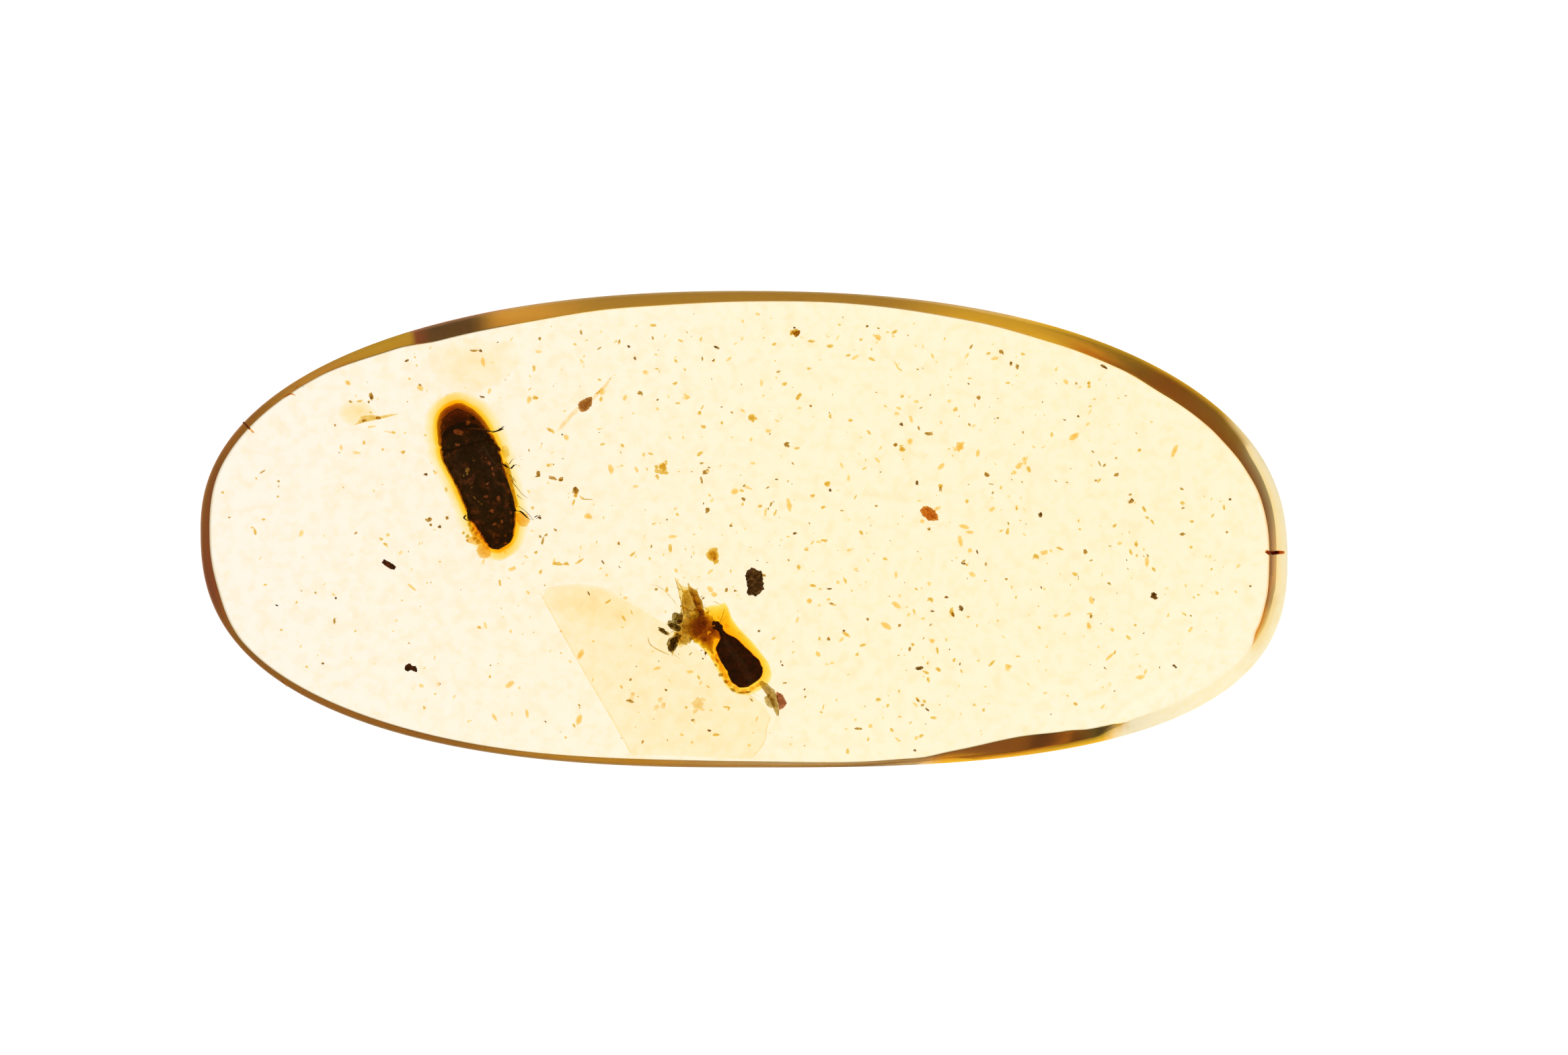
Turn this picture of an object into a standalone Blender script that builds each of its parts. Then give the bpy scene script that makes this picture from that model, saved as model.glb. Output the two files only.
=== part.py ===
"""Insect in amber: a long polished cabochon with two beetles and plant scraps sealed in it.

The stone lies on its flat base. +X runs along its length, +Z is up, and the origin is
at the middle of the base. The stone is parted near its mid height, so that each sealed
thing sits in a pocket that opens on the parting.
"""
import math

import bmesh
import bpy
from mathutils import Matrix, Vector, noise

MM = 0.001

# The stone
HALF_LENGTH = 10.0 * MM
HALF_WIDTH = 4.385 * MM
HEIGHT = 3.6 * MM
DROOP = 0.57 * MM                  # how far the right-hand tip hangs towards -Y
FULLNESS = (2.5, 2.22, 2.5, 2.45)  # superellipse exponent of each quarter, from +X and +Y on
GIRDLE_POINTS = 72

# The stone's side, from the base up: the share of the rim's width that each ring stands in
# from the girdle, and its height
LOWER_RINGS = ((1.0, 0.0), (0.55, 0.11 * MM), (0.27, 0.32 * MM), (0.08, 0.62 * MM))
GIRDLE_HEIGHT = 1.0 * MM
BEVEL_SLOPE = 1.4                  # rise over run of the gentle bevel above the girdle
LEAST_RUN = 0.02 * MM              # the bevel's run and rise where it all but vanishes
LEAST_RISE = 0.10 * MM
WIDEST_BEVEL = 0.35 * MM
NARROW_WALL = (0.06 * MM, 0.12 * MM)  # between these widths the wall melts into the bevel

# Round the stone, by degrees from the right-hand tip towards +Y: the widths seen from above
# of the gentle bevel and of the steep wall over it, in mm
BEVEL_WIDTH = ((0, 0.26), (12, 0.20), (27, 0.10), (42, 0.06), (60, 0.03), (85, 0.0), (278, 0.0),
               (286, 0.04), (293, 0.09), (302, 0.10), (306, 0.12), (309, 0.20), (312, 0.29),
               (340, 0.31), (360, 0.26))
WALL_WIDTH = ((0, 0.17), (12, 0.22), (27, 0.34), (42, 0.36), (60, 0.30), (90, 0.25), (180, 0.25),
              (216, 0.20), (240, 0.15), (270, 0.11), (284, 0.10), (293, 0.20), (302, 0.21),
              (306, 0.18), (309, 0.10), (311, 0.06), (340, 0.06), (345, 0.10), (352, 0.15),
              (360, 0.17))

# The domed top: how far it falls towards the tips and the long sides, a corner polished
# lower, and the rings between the arris and the crown, as shares of the way out
FALL_TO_TIPS = 0.65 * MM
FALL_TO_SIDES = 0.55 * MM
LOW_CORNER = Vector((0.60, -0.80))  # the way to the corner
LOW_CORNER_START = 4.0 * MM
LOW_CORNER_FALL = 0.131 / MM        # per square metre past the start
DOME_RINGS = (0.94, 0.82, 0.66, 0.46, 0.24)

# The parting and the pockets
PARTING_HEIGHT = 1.75 * MM
GAP = 0.3 * MM
POCKET_BEVEL = 0.25 * MM

# The dome shows what is sealed a little larger than it is, so the sealed things' shapes below
# are given as they are seen, and their places as they are
SEALED_MM = 0.97 * MM

# The larger beetle, from its front to its tail: distance along it, how far its middle stands
# to the right, half width and half depth of each ring, in mm
LARGE_RINGS = ((0.00, -0.02, 0.000, 0.00), (0.03, -0.07, 0.160, 0.12), (0.12, -0.09, 0.280, 0.22),
               (0.27, -0.07, 0.390, 0.29), (0.45, -0.045, 0.455, 0.34), (0.58, -0.035, 0.49, 0.355),
               (0.655, -0.03, 0.500, 0.34), (0.70, -0.025, 0.48, 0.29), (0.75, -0.02, 0.515, 0.335),
               (0.90, -0.01, 0.540, 0.38), (1.15, 0.02, 0.520, 0.40), (1.45, 0.055, 0.485, 0.395),
               (1.75, 0.075, 0.465, 0.38), (2.05, 0.105, 0.445, 0.35), (2.25, 0.12, 0.405, 0.31),
               (2.45, 0.115, 0.335, 0.26), (2.62, 0.105, 0.265, 0.20), (2.73, 0.08, 0.180, 0.13),
               (2.79, 0.03, 0.000, 0.00))
LARGE_FRONT = (-5.189 * MM, 2.230 * MM, 1.75 * MM)
LARGE_TURN = 16.2
LARGE_SIDES = 24
BELLY_SPAN = (-30.0, 110.0)        # degrees round the body, from straight up, to the right
BELLY_SHARE = 0.91                 # the belly lies a little inside the wing cases' edge

# Legs: points of distance along, to the right, up, and radius, in mm
LARGE_LEGS = (
    ((0.50, 0.10, 0.28, 0.060), (0.58, 0.32, 0.25, 0.055), (0.66, 0.46, 0.14, 0.034),
     (0.69, 0.58, 0.11, 0.020), (0.665, 0.675, 0.11, 0.026)),
    ((1.07, -0.02, 0.34, 0.055), (0.93, 0.19, 0.34, 0.065), (1.08, 0.30, 0.30, 0.055),
     (1.27, 0.37, 0.25, 0.040), (1.31, 0.53, 0.14, 0.024), (1.42, 0.63, 0.10, 0.018),
     (1.38, 0.735, 0.10, 0.016)),
    ((1.32, 0.40, 0.18, 0.070), (1.62, 0.465, 0.10, 0.080), (1.95, 0.49, 0.06, 0.075),
     (2.17, 0.49, 0.04, 0.060), (2.24, 0.62, 0.02, 0.020), (2.39, 0.715, 0.0, 0.017),
     (2.45, 0.80, 0.0, 0.018)),
    ((1.72, -0.20, -0.20, 0.060), (1.95, -0.31, -0.10, 0.065), (2.08, -0.355, -0.02, 0.070),
     (2.14, -0.35, 0.04, 0.045)),
)
LARGE_HEAD = ((0.27, -0.03, 0.19), (0.22, 0.23, 0.13))   # middle and half sizes

# The smaller beetle, in the same terms
SMALL_RINGS = ((0.00, 0.00, 0.000, 0.000), (0.03, 0.00, 0.045, 0.040), (0.09, 0.01, 0.065, 0.055),
               (0.16, 0.01, 0.060, 0.055), (0.205, 0.02, 0.042, 0.042), (0.26, 0.03, 0.058, 0.060),
               (0.32, 0.04, 0.080, 0.085), (0.38, 0.035, 0.15, 0.130), (0.46, 0.02, 0.225, 0.170),
               (0.60, 0.045, 0.255, 0.20), (0.80, 0.10, 0.285, 0.220), (0.98, 0.145, 0.31, 0.225),
               (1.12, 0.14, 0.318, 0.210), (1.23, 0.145, 0.27, 0.17), (1.30, 0.125, 0.19, 0.120),
               (1.345, 0.07, 0.000, 0.000))
SMALL_FRONT = (-0.511 * MM, -1.631 * MM, 1.75 * MM)
SMALL_TURN = 23.8
SMALL_SIDES = 20
SMALL_LEGS = (
    ((0.07, 0.02, 0.03, 0.016), (0.005, 0.10, 0.05, 0.012), (-0.09, 0.16, 0.06, 0.011),
     (-0.17, 0.19, 0.06, 0.014)),
    ((0.07, -0.01, 0.03, 0.016), (-0.03, -0.06, 0.06, 0.012), (-0.15, -0.09, 0.08, 0.011),
     (-0.24, -0.10, 0.08, 0.014)),
    ((0.98, 0.40, 0.0, 0.030), (1.10, 0.455, -0.03, 0.024), (1.19, 0.49, -0.05, 0.014)),
    ((0.50, -0.12, 0.10, 0.030), (0.62, -0.215, 0.05, 0.028), (0.80, -0.205, 0.0, 0.020),
     (0.90, -0.20, -0.04, 0.014)),
    ((0.86, -0.12, 0.08, 0.030), (0.98, -0.19, 0.03, 0.026), (1.10, -0.215, 0.0, 0.016)),
)

# Flat plant scraps: outline in mm about their middle, half thickness, and place
SPRIG_OUTLINE = ((-0.14, 0.72), (-0.05, 0.68), (0.03, 0.62), (0.06, 0.47), (0.14, 0.36), (0.11, 0.24),
                 (0.20, 0.12), (0.30, 0.04), (0.36, -0.10), (0.40, -0.25), (0.31, -0.37),
                 (0.19, -0.31), (0.06, -0.24), (-0.09, -0.19), (-0.19, -0.25), (-0.27, -0.36),
                 (-0.36, -0.47), (-0.45, -0.53), (-0.52, -0.43), (-0.52, -0.32), (-0.43, -0.24),
                 (-0.53, -0.20), (-0.69, -0.11), (-0.59, -0.06), (-0.46, -0.12), (-0.51, 0.00),
                 (-0.42, 0.03), (-0.37, 0.06), (-0.32, 0.17), (-0.26, 0.22), (-0.22, 0.15),
                 (-0.25, 0.02), (-0.19, 0.11), (-0.14, 0.27), (-0.09, 0.37), (-0.11, 0.51),
                 (-0.16, 0.63))
SPRIG_PLACE = (-0.865 * MM, -1.673 * MM, 1.42 * MM)
SPRIG_HALF_THICKNESS = 0.04 * MM
BLADE_OUTLINE = ((-0.15, 0.285), (-0.085, 0.27), (0.04, 0.15), (0.12, 0.085), (0.11, -0.075),
                 (0.16, -0.22), (0.125, -0.335), (0.06, -0.22), (-0.025, -0.11), (-0.075, 0.0),
                 (-0.04, 0.075), (-0.10, 0.175))
BLADE_PLACE = (0.480 * MM, -3.019 * MM, 1.62 * MM)
BLADE_HALF_THICKNESS = 0.03 * MM

# Lumps: half sizes in mm, place in mm, turn in degrees, roughness, number for the noise
LUMPS = {
    "red_grain": ((0.085, 0.125, 0.07), (0.689, -3.061, 1.92), 12, 0.22, 3),
    "dark_pellet": ((0.175, 0.250, 0.17), (0.205, -0.938, 1.75), 2, 0.16, 5),
    "seed": ((0.155, 0.095, 0.085), (-2.920, 2.198, 1.75), -30, 0.08, 8),
    "resin_bead": ((0.165, 0.125, 0.12), (3.389, 0.274, 1.75), -20, 0.07, 11),
    "dark_crumb": ((0.125, 0.080, 0.075), (-6.063, -2.473, 1.75), -25, 0.34, 17),
}
LUMP_DIVISIONS = 3
NOISE_CELL = 0.55                  # of the lump's half size

SPLINTER_SIZE = (0.27 * MM, 0.11 * MM, 0.10 * MM)
SPLINTER_PLACE = (-6.458 * MM, -0.627 * MM, 1.75 * MM)
SPLINTER_TURN = -33.0

# Colour, roughness, transmission
FINISHES = {
    "amber": ((0.95, 0.72, 0.34), 0.04, 1.0),
    "dark_chitin": ((0.045, 0.020, 0.013), 0.35, 0.0),
    "brown_chitin": ((0.070, 0.030, 0.018), 0.35, 0.0),
    "green_leaf": ((0.150, 0.110, 0.020), 0.55, 0.0),
    "grey_leaf": ((0.330, 0.300, 0.170), 0.55, 0.0),
    "red_mineral": ((0.270, 0.080, 0.030), 0.50, 0.0),
    "dark_soil": ((0.050, 0.035, 0.016), 0.80, 0.0),
    "seed_coat": ((0.420, 0.220, 0.070), 0.45, 0.0),
    "red_resin": ((0.450, 0.110, 0.015), 0.20, 0.0),
    "dark_wood": ((0.080, 0.035, 0.012), 0.70, 0.0),
}
AMBER_IOR = 1.54


def clear_scene():
    """Remove whatever the file opened with."""
    for thing in list(bpy.data.objects):
        bpy.data.objects.remove(thing, do_unlink=True)


def new_collection(name):
    """A collection of that name, linked to the scene."""
    group = bpy.data.collections.new(name)
    bpy.context.scene.collection.children.link(group)
    return group


def finish(name):
    """The Principled material of one of the finishes, made once."""
    if name in bpy.data.materials:
        return bpy.data.materials[name]
    colour, roughness, transmission = FINISHES[name]
    material = bpy.data.materials.new(name)
    material.use_nodes = True
    shader = material.node_tree.nodes["Principled BSDF"]
    shader.inputs["Base Color"].default_value = (*colour, 1.0)
    shader.inputs["Roughness"].default_value = roughness
    shader.inputs["Metallic"].default_value = 0.0
    shader.inputs["Transmission Weight"].default_value = transmission
    shader.inputs["IOR"].default_value = AMBER_IOR
    return material


def object_from_bmesh(name, bm, group, material):
    """Put a bmesh in a new object of the group, and free it."""
    mesh = bpy.data.meshes.new(name)
    bm.to_mesh(mesh)
    bm.free()
    mesh.materials.append(finish(material))
    thing = bpy.data.objects.new(name, mesh)
    group.objects.link(thing)
    return thing


def place(thing, location, turn_degrees):
    """Stand a piece at its place, turned about the vertical."""
    thing.location = location
    thing.rotation_euler = (0.0, 0.0, math.radians(turn_degrees))


# ---- the stone ----------------------------------------------------------------------------

def value_round(keys, degrees):
    """Value at an angle, eased between keys of (degrees, value)."""
    for (start, low), (end, high) in zip(keys, keys[1:]):
        if start <= degrees <= end:
            share = (degrees - start) / (end - start)
            eased = share * share * (3.0 - 2.0 * share)
            return low + (high - low) * eased
    return keys[-1][1]


def girdle_point(degrees):
    """Point of the girdle, seen from above: a superellipse with its right-hand tip drooping."""
    angle = math.radians(degrees)
    power = 2.0 / FULLNESS[int(degrees // 90) % 4]
    across = math.copysign(abs(math.cos(angle)) ** power, math.cos(angle))
    upward = math.copysign(abs(math.sin(angle)) ** power, math.sin(angle))
    droop = DROOP * max(across, 0.0) ** 2
    return Vector((HALF_LENGTH * across, HALF_WIDTH * upward - droop))


def side_point(degrees, inset, height):
    """Point of the stone's side, moved in from the girdle along its normal."""
    step = 0.5
    ahead = girdle_point((degrees + step) % 360)
    behind = girdle_point((degrees - step) % 360)
    along = (ahead - behind).normalized()
    outward = Vector((along.y, -along.x))
    spot = girdle_point(degrees) - outward * inset
    return Vector((spot.x, spot.y, height))


def dome_height(spot):
    """Height of the domed top over a point of the base."""
    fall = FALL_TO_TIPS * (spot.x / HALF_LENGTH) ** 2 + FALL_TO_SIDES * (spot.y / HALF_WIDTH) ** 2
    past = max(0.0, spot.xy.dot(LOW_CORNER) - LOW_CORNER_START)
    return HEIGHT - fall - LOW_CORNER_FALL * past * past


def rim_width(degrees):
    """Width of the rim seen from above, from the girdle to the arris."""
    return (value_round(BEVEL_WIDTH, degrees) + value_round(WALL_WIDTH, degrees)) * MM


def dome_point(degrees, share):
    """Point of the domed top at a share of the way from the crown to the arris.

    The arris is at a share of 1: there the steep wall meets the top.
    """
    spot = side_point(degrees, rim_width(degrees), 0.0) * share
    spot.z = dome_height(spot)
    return spot


def bevel_point(degrees):
    """Point where the gentle bevel ends and the steep wall starts.

    Where the wall is narrow, the bevel climbs to the dome by itself.
    """
    run = value_round(BEVEL_WIDTH, degrees) * MM
    wall = value_round(WALL_WIDTH, degrees) * MM
    height = GIRDLE_HEIGHT + LEAST_RISE * (1.0 - run / WIDEST_BEVEL) + run * BEVEL_SLOPE
    least, enough = NARROW_WALL
    melted = min(1.0, max(0.0, (enough - wall) / (enough - least)))
    height += (dome_point(degrees, 1.0).z - height) * melted
    return side_point(degrees, run + LEAST_RUN, height)


def stone_rings():
    """The stone's rings from the base to the last one under the crown, each a function of angle."""
    rings = []
    for share, height in LOWER_RINGS:
        rings.append(lambda degrees, s=share, h=height: side_point(degrees, rim_width(degrees) * s, h))
    rings.append(lambda degrees: side_point(degrees, 0.0, GIRDLE_HEIGHT))
    rings.append(bevel_point)
    for share in (1.0, *DOME_RINGS):
        rings.append(lambda degrees, s=share: dome_point(degrees, s))
    return rings


def stone_bmesh():
    """The whole stone: a disc raised ring by ring from the base, its last face poked to the crown."""
    bm = bmesh.new()
    bmesh.ops.create_circle(bm, cap_ends=True, segments=GIRDLE_POINTS, radius=HALF_LENGTH)
    slot = bm.verts.layers.int.new("slot")
    for number, vert in enumerate(bm.verts):
        vert[slot] = number
    rings = stone_rings()
    top = bm.faces[:][0]
    for number, ring in enumerate(rings):
        if number:
            made = bmesh.ops.extrude_face_region(bm, geom=[top])["geom"]
            if number > 1:
                bmesh.ops.delete(bm, geom=[top], context="FACES_ONLY")
            top = next(item for item in made if isinstance(item, bmesh.types.BMFace))
        for vert in top.verts:
            vert.co = ring(vert[slot] * 360.0 / GIRDLE_POINTS)
    crown = bmesh.ops.poke(bm, faces=[top])["verts"][0]
    crown.co = (0.0, 0.0, HEIGHT)
    bmesh.ops.recalc_face_normals(bm, faces=bm.faces)
    return bm


def stone_half(name, group, cut_height, upper):
    """One half of the stone, cut flat at a height."""
    bm = stone_bmesh()
    everything = bm.verts[:] + bm.edges[:] + bm.faces[:]
    cut = bmesh.ops.bisect_plane(bm, geom=everything, plane_co=(0.0, 0.0, cut_height),
                                 plane_no=(0.0, 0.0, 1.0), clear_inner=upper, clear_outer=not upper)
    edges = [item for item in cut["geom_cut"] if isinstance(item, bmesh.types.BMEdge)]
    bmesh.ops.holes_fill(bm, edges=edges, sides=0)
    bmesh.ops.recalc_face_normals(bm, faces=bm.faces)
    half = object_from_bmesh(name, bm, group, "amber")
    half.data.set_sharp_from_angle(angle=math.radians(25.0))
    return half


def pocket_for(piece, group):
    """Cutter of the pocket round a piece: its own box in its own frame, grown and rounded."""
    corners = [Vector(corner) for corner in piece.bound_box]
    low = Vector(min(corner[axis] for corner in corners) for axis in range(3))
    high = Vector(max(corner[axis] for corner in corners) for axis in range(3))
    size = high - low + Vector((2.0 * GAP, 2.0 * GAP, 2.0 * GAP))
    bm = bmesh.new()
    shape = Matrix.Translation((low + high) / 2.0) @ Matrix.Diagonal((*size, 1.0))
    bmesh.ops.create_cube(bm, size=1.0, matrix=shape)
    bmesh.ops.bevel(bm, geom=bm.edges[:], offset=POCKET_BEVEL, segments=2, profile=0.5,
                    affect="EDGES", material=-1)
    cutter = object_from_bmesh("pocket_" + piece.name, bm, group, "amber")
    cutter.matrix_world = piece.matrix_world.copy()
    cutter.hide_render = True
    cutter.display_type = "WIRE"
    return cutter


def cut_pockets(half, pockets):
    """Take every pocket of a collection out of a half of the stone, in one cut."""
    cut = half.modifiers.new("pockets", "BOOLEAN")
    cut.operation = "DIFFERENCE"
    cut.solver = "EXACT"
    cut.operand_type = "COLLECTION"
    cut.collection = pockets


# ---- the beetles --------------------------------------------------------------------------

def body_bmesh(rings, sides, belly_from):
    """A beetle's trunk: a sphere whose rings are moved to the body's rings.

    The body lies with its front at the origin and its tail towards -Y, belly up. Past
    belly_from along it, the belly lies inside the edge of the wing cases.
    """
    bm = bmesh.new()
    last = len(rings) - 1
    upright = Matrix.Rotation(math.radians(-90.0), 4, "X")
    bmesh.ops.create_uvsphere(bm, u_segments=sides, v_segments=last, radius=1.0, matrix=upright)
    for vert in bm.verts:
        number = round(math.acos(max(-1.0, min(1.0, vert.co.y))) / math.pi * last)
        along, offset, half_width, half_depth = rings[number]
        round_body = math.degrees(math.atan2(vert.co.x, vert.co.z))
        on_belly = BELLY_SPAN[0] < round_body < BELLY_SPAN[1] and along > belly_from
        share = BELLY_SHARE if on_belly else 1.0
        reach = math.hypot(vert.co.x, vert.co.z) or 1.0
        right = offset + half_width * share * vert.co.x / reach
        up = half_depth * share * vert.co.z / reach
        vert.co = Vector((right, -along, up)) * SEALED_MM
    return bm


def leg_mesh(points):
    """A leg as a tapered tube through its points, made a closed mesh."""
    curve = bpy.data.curves.new("leg", "CURVE")
    curve.dimensions = "3D"
    curve.bevel_depth = SEALED_MM
    curve.bevel_resolution = 1
    curve.use_fill_caps = True
    spline = curve.splines.new("POLY")
    spline.points.add(len(points) - 1)
    for point, (along, right, up, radius) in zip(spline.points, points):
        point.co = (right * SEALED_MM, -along * SEALED_MM, up * SEALED_MM, 1.0)
        point.radius = radius
    guide = bpy.data.objects.new("leg", curve)
    bpy.context.scene.collection.objects.link(guide)
    evaluated = guide.evaluated_get(bpy.context.evaluated_depsgraph_get())
    mesh = bpy.data.meshes.new_from_object(evaluated)
    bpy.data.objects.remove(guide)
    bm = bmesh.new()
    bm.from_mesh(mesh)
    bpy.data.meshes.remove(mesh)
    bmesh.ops.remove_doubles(bm, verts=bm.verts, dist=1e-7)
    bmesh.ops.recalc_face_normals(bm, faces=bm.faces)
    return bm


def head_bmesh(middle, half_sizes):
    """A tucked-in head: an ellipsoid in the body's frame."""
    bm = bmesh.new()
    along, right, up = middle
    shape = Matrix.Translation(Vector((right, -along, up)) * SEALED_MM) @ Matrix.Diagonal(
        (half_sizes[1] * SEALED_MM, half_sizes[0] * SEALED_MM, half_sizes[2] * SEALED_MM, 1.0))
    bmesh.ops.create_uvsphere(bm, u_segments=16, v_segments=10, radius=1.0, matrix=shape)
    return bm


def fuse(body, parts, cutters):
    """Join parts to a body, each with a Boolean union."""
    for part in parts:
        cutters.objects.link(part)
        part.hide_render = True
        part.display_type = "WIRE"
        join = body.modifiers.new(part.name, "BOOLEAN")
        join.operation = "UNION"
        join.solver = "EXACT"
        join.object = part


def loose_part(name, bm, frame):
    """An object for a part that is fused to a body, in the body's frame."""
    mesh = bpy.data.meshes.new(name)
    bm.to_mesh(mesh)
    bm.free()
    mesh.shade_smooth()
    part = bpy.data.objects.new(name, mesh)
    part.matrix_world = frame
    return part


def beetle(name, rings, sides, belly_from, legs, head, front, turn, material, groups):
    """A whole beetle in one solid: trunk, head and the legs that show."""
    pieces, cutters = groups
    body = object_from_bmesh(name, body_bmesh(rings, sides, belly_from), pieces, material)
    place(body, front, turn)
    bpy.context.view_layer.update()
    frame = body.matrix_world.copy()
    parts = []
    for number, points in enumerate(legs):
        parts.append(loose_part(f"{name}_leg_{number}", leg_mesh(points), frame))
    if head:
        parts.append(loose_part(f"{name}_head", head_bmesh(*head), frame))
    fuse(body, parts, cutters)
    body.data.shade_smooth()
    return body


# ---- plant scraps and crumbs --------------------------------------------------------------

def plate(name, outline, half_thickness, location, material, group):
    """A flat scrap: its outline as a filled 2D curve, extruded to its thickness."""
    curve = bpy.data.curves.new(name, "CURVE")
    curve.dimensions = "2D"
    curve.fill_mode = "BOTH"
    curve.extrude = half_thickness
    spline = curve.splines.new("POLY")
    spline.points.add(len(outline) - 1)
    for point, (right, up) in zip(spline.points, outline):
        point.co = (right * SEALED_MM, up * SEALED_MM, 0.0, 1.0)
    spline.use_cyclic_u = True
    guide = bpy.data.objects.new(name, curve)
    bpy.context.scene.collection.objects.link(guide)
    evaluated = guide.evaluated_get(bpy.context.evaluated_depsgraph_get())
    mesh = bpy.data.meshes.new_from_object(evaluated)
    bpy.data.objects.remove(guide)
    bm = bmesh.new()
    bm.from_mesh(mesh)
    bpy.data.meshes.remove(mesh)
    bmesh.ops.remove_doubles(bm, verts=bm.verts, dist=1e-7)
    bmesh.ops.recalc_face_normals(bm, faces=bm.faces)
    scrap = object_from_bmesh(name, bm, group, material)
    place(scrap, location, 0.0)
    return scrap


def lump(name, half_sizes, location, turn, roughness, number, material, group):
    """A rough lump: a sphere pushed in and out by noise."""
    bm = bmesh.new()
    bmesh.ops.create_icosphere(bm, subdivisions=LUMP_DIVISIONS, radius=1.0)
    shift = Vector((number * 3.7, number * 1.9, number * 5.3))
    for vert in bm.verts:
        push = 1.0 + roughness * noise.noise(vert.co / NOISE_CELL + shift)
        spot = vert.co * push
        vert.co = Vector(spot[axis] * half_sizes[axis] * SEALED_MM for axis in range(3))
    piece = object_from_bmesh(name, bm, group, material)
    place(piece, [value * MM for value in location], turn)
    return piece


def splinter(group):
    """A short broken bar of wood, its ends narrower than its middle."""
    bm = bmesh.new()
    bmesh.ops.create_cube(bm, size=1.0, matrix=Matrix.Diagonal((*SPLINTER_SIZE, 1.0)))
    bmesh.ops.subdivide_edges(bm, edges=bm.edges[:], cuts=2, use_grid_fill=True)
    for vert in bm.verts:
        end = abs(vert.co.x) / (SPLINTER_SIZE[0] / 2.0)
        narrow = 1.0 - 0.3 * end * end
        wobble = noise.noise(vert.co / (0.06 * MM))
        vert.co.y *= narrow
        vert.co.z *= narrow
        vert.co.x += 0.012 * MM * wobble
    piece = object_from_bmesh("wood_splinter", bm, group, "dark_wood")
    place(piece, SPLINTER_PLACE, SPLINTER_TURN)
    return piece


def main():
    clear_scene()
    pieces = new_collection("insect_in_amber")
    cutters = new_collection("cutters")
    groups = (pieces, cutters)
    sealed = [
        beetle("large_beetle", LARGE_RINGS, LARGE_SIDES, 0.72, LARGE_LEGS, LARGE_HEAD,
               LARGE_FRONT, LARGE_TURN, "dark_chitin", groups),
        beetle("small_beetle", SMALL_RINGS, SMALL_SIDES, 9.0, SMALL_LEGS, None,
               SMALL_FRONT, SMALL_TURN, "brown_chitin", groups),
        plate("leafy_sprig", SPRIG_OUTLINE, SPRIG_HALF_THICKNESS, SPRIG_PLACE, "green_leaf", pieces),
        plate("plant_blade", BLADE_OUTLINE, BLADE_HALF_THICKNESS, BLADE_PLACE, "grey_leaf", pieces),
        splinter(pieces),
    ]
    looks = {"red_grain": "red_mineral", "dark_pellet": "dark_soil", "seed": "seed_coat",
             "resin_bead": "red_resin", "dark_crumb": "dark_soil"}
    for name, values in LUMPS.items():
        sealed.append(lump(name, *values, looks[name], pieces))
    bpy.context.view_layer.update()
    lower = stone_half("amber_lower", pieces, PARTING_HEIGHT - GAP / 2.0, upper=False)
    upper = stone_half("amber_upper", pieces, PARTING_HEIGHT + GAP / 2.0, upper=True)
    pockets = new_collection("pockets")
    for piece in sealed:
        pocket_for(piece, pockets)
    cut_pockets(lower, pockets)
    cut_pockets(upper, pockets)


main()
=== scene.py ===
# %% [markdown]
# # Insect in amber
#
# A long polished piece of amber lies on its flat base over a lit table. Two beetles, a sprig,
# a blade of grass and hundreds of crumbs are sealed in it. The imported model gives the frame:
# the stone's two halves and every sealed thing at its real size. This script gives the looks.

# %% Load the frame
import math
import random

import bmesh
import bpy
from mathutils import Matrix, Vector, noise
from mathutils.bvhtree import BVHTree


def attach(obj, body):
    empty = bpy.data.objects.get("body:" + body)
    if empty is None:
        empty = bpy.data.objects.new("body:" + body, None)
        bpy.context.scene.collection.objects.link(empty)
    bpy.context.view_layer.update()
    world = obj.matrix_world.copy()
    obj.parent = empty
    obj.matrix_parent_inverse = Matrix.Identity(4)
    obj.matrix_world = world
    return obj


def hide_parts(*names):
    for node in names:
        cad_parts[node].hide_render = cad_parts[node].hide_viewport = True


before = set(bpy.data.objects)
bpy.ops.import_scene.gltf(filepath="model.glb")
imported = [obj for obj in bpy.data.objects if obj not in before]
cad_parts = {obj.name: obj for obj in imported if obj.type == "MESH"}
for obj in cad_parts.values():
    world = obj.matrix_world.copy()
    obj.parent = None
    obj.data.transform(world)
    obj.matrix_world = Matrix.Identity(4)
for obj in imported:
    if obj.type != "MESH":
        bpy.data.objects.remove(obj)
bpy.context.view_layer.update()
MM = 0.001
BODY = "root"

# %% [markdown]
# ## The camera
#
# The stone is seen from straight above, through a macro lens a hand's width away. A camera
# that looks down needs no turn at all, because an unturned camera already looks along -Z. Its
# near clipping distance has to be far less than the default 100 mm, or the stone is cut away.

# %% A camera straight above
PICTURE = (2331, 1568)
PIXELS_PER_MM = 80.8
STONE_MIDDLE_PIXEL = (1106.0, 786.5)
LENS = 400.0
SENSOR = 36.0
NEAREST = 1.0 * MM
FURTHEST = 10.0
INCLUSION_HEIGHT = 1.75 * MM
GIRDLE_HEIGHT = 1.0 * MM

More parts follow.
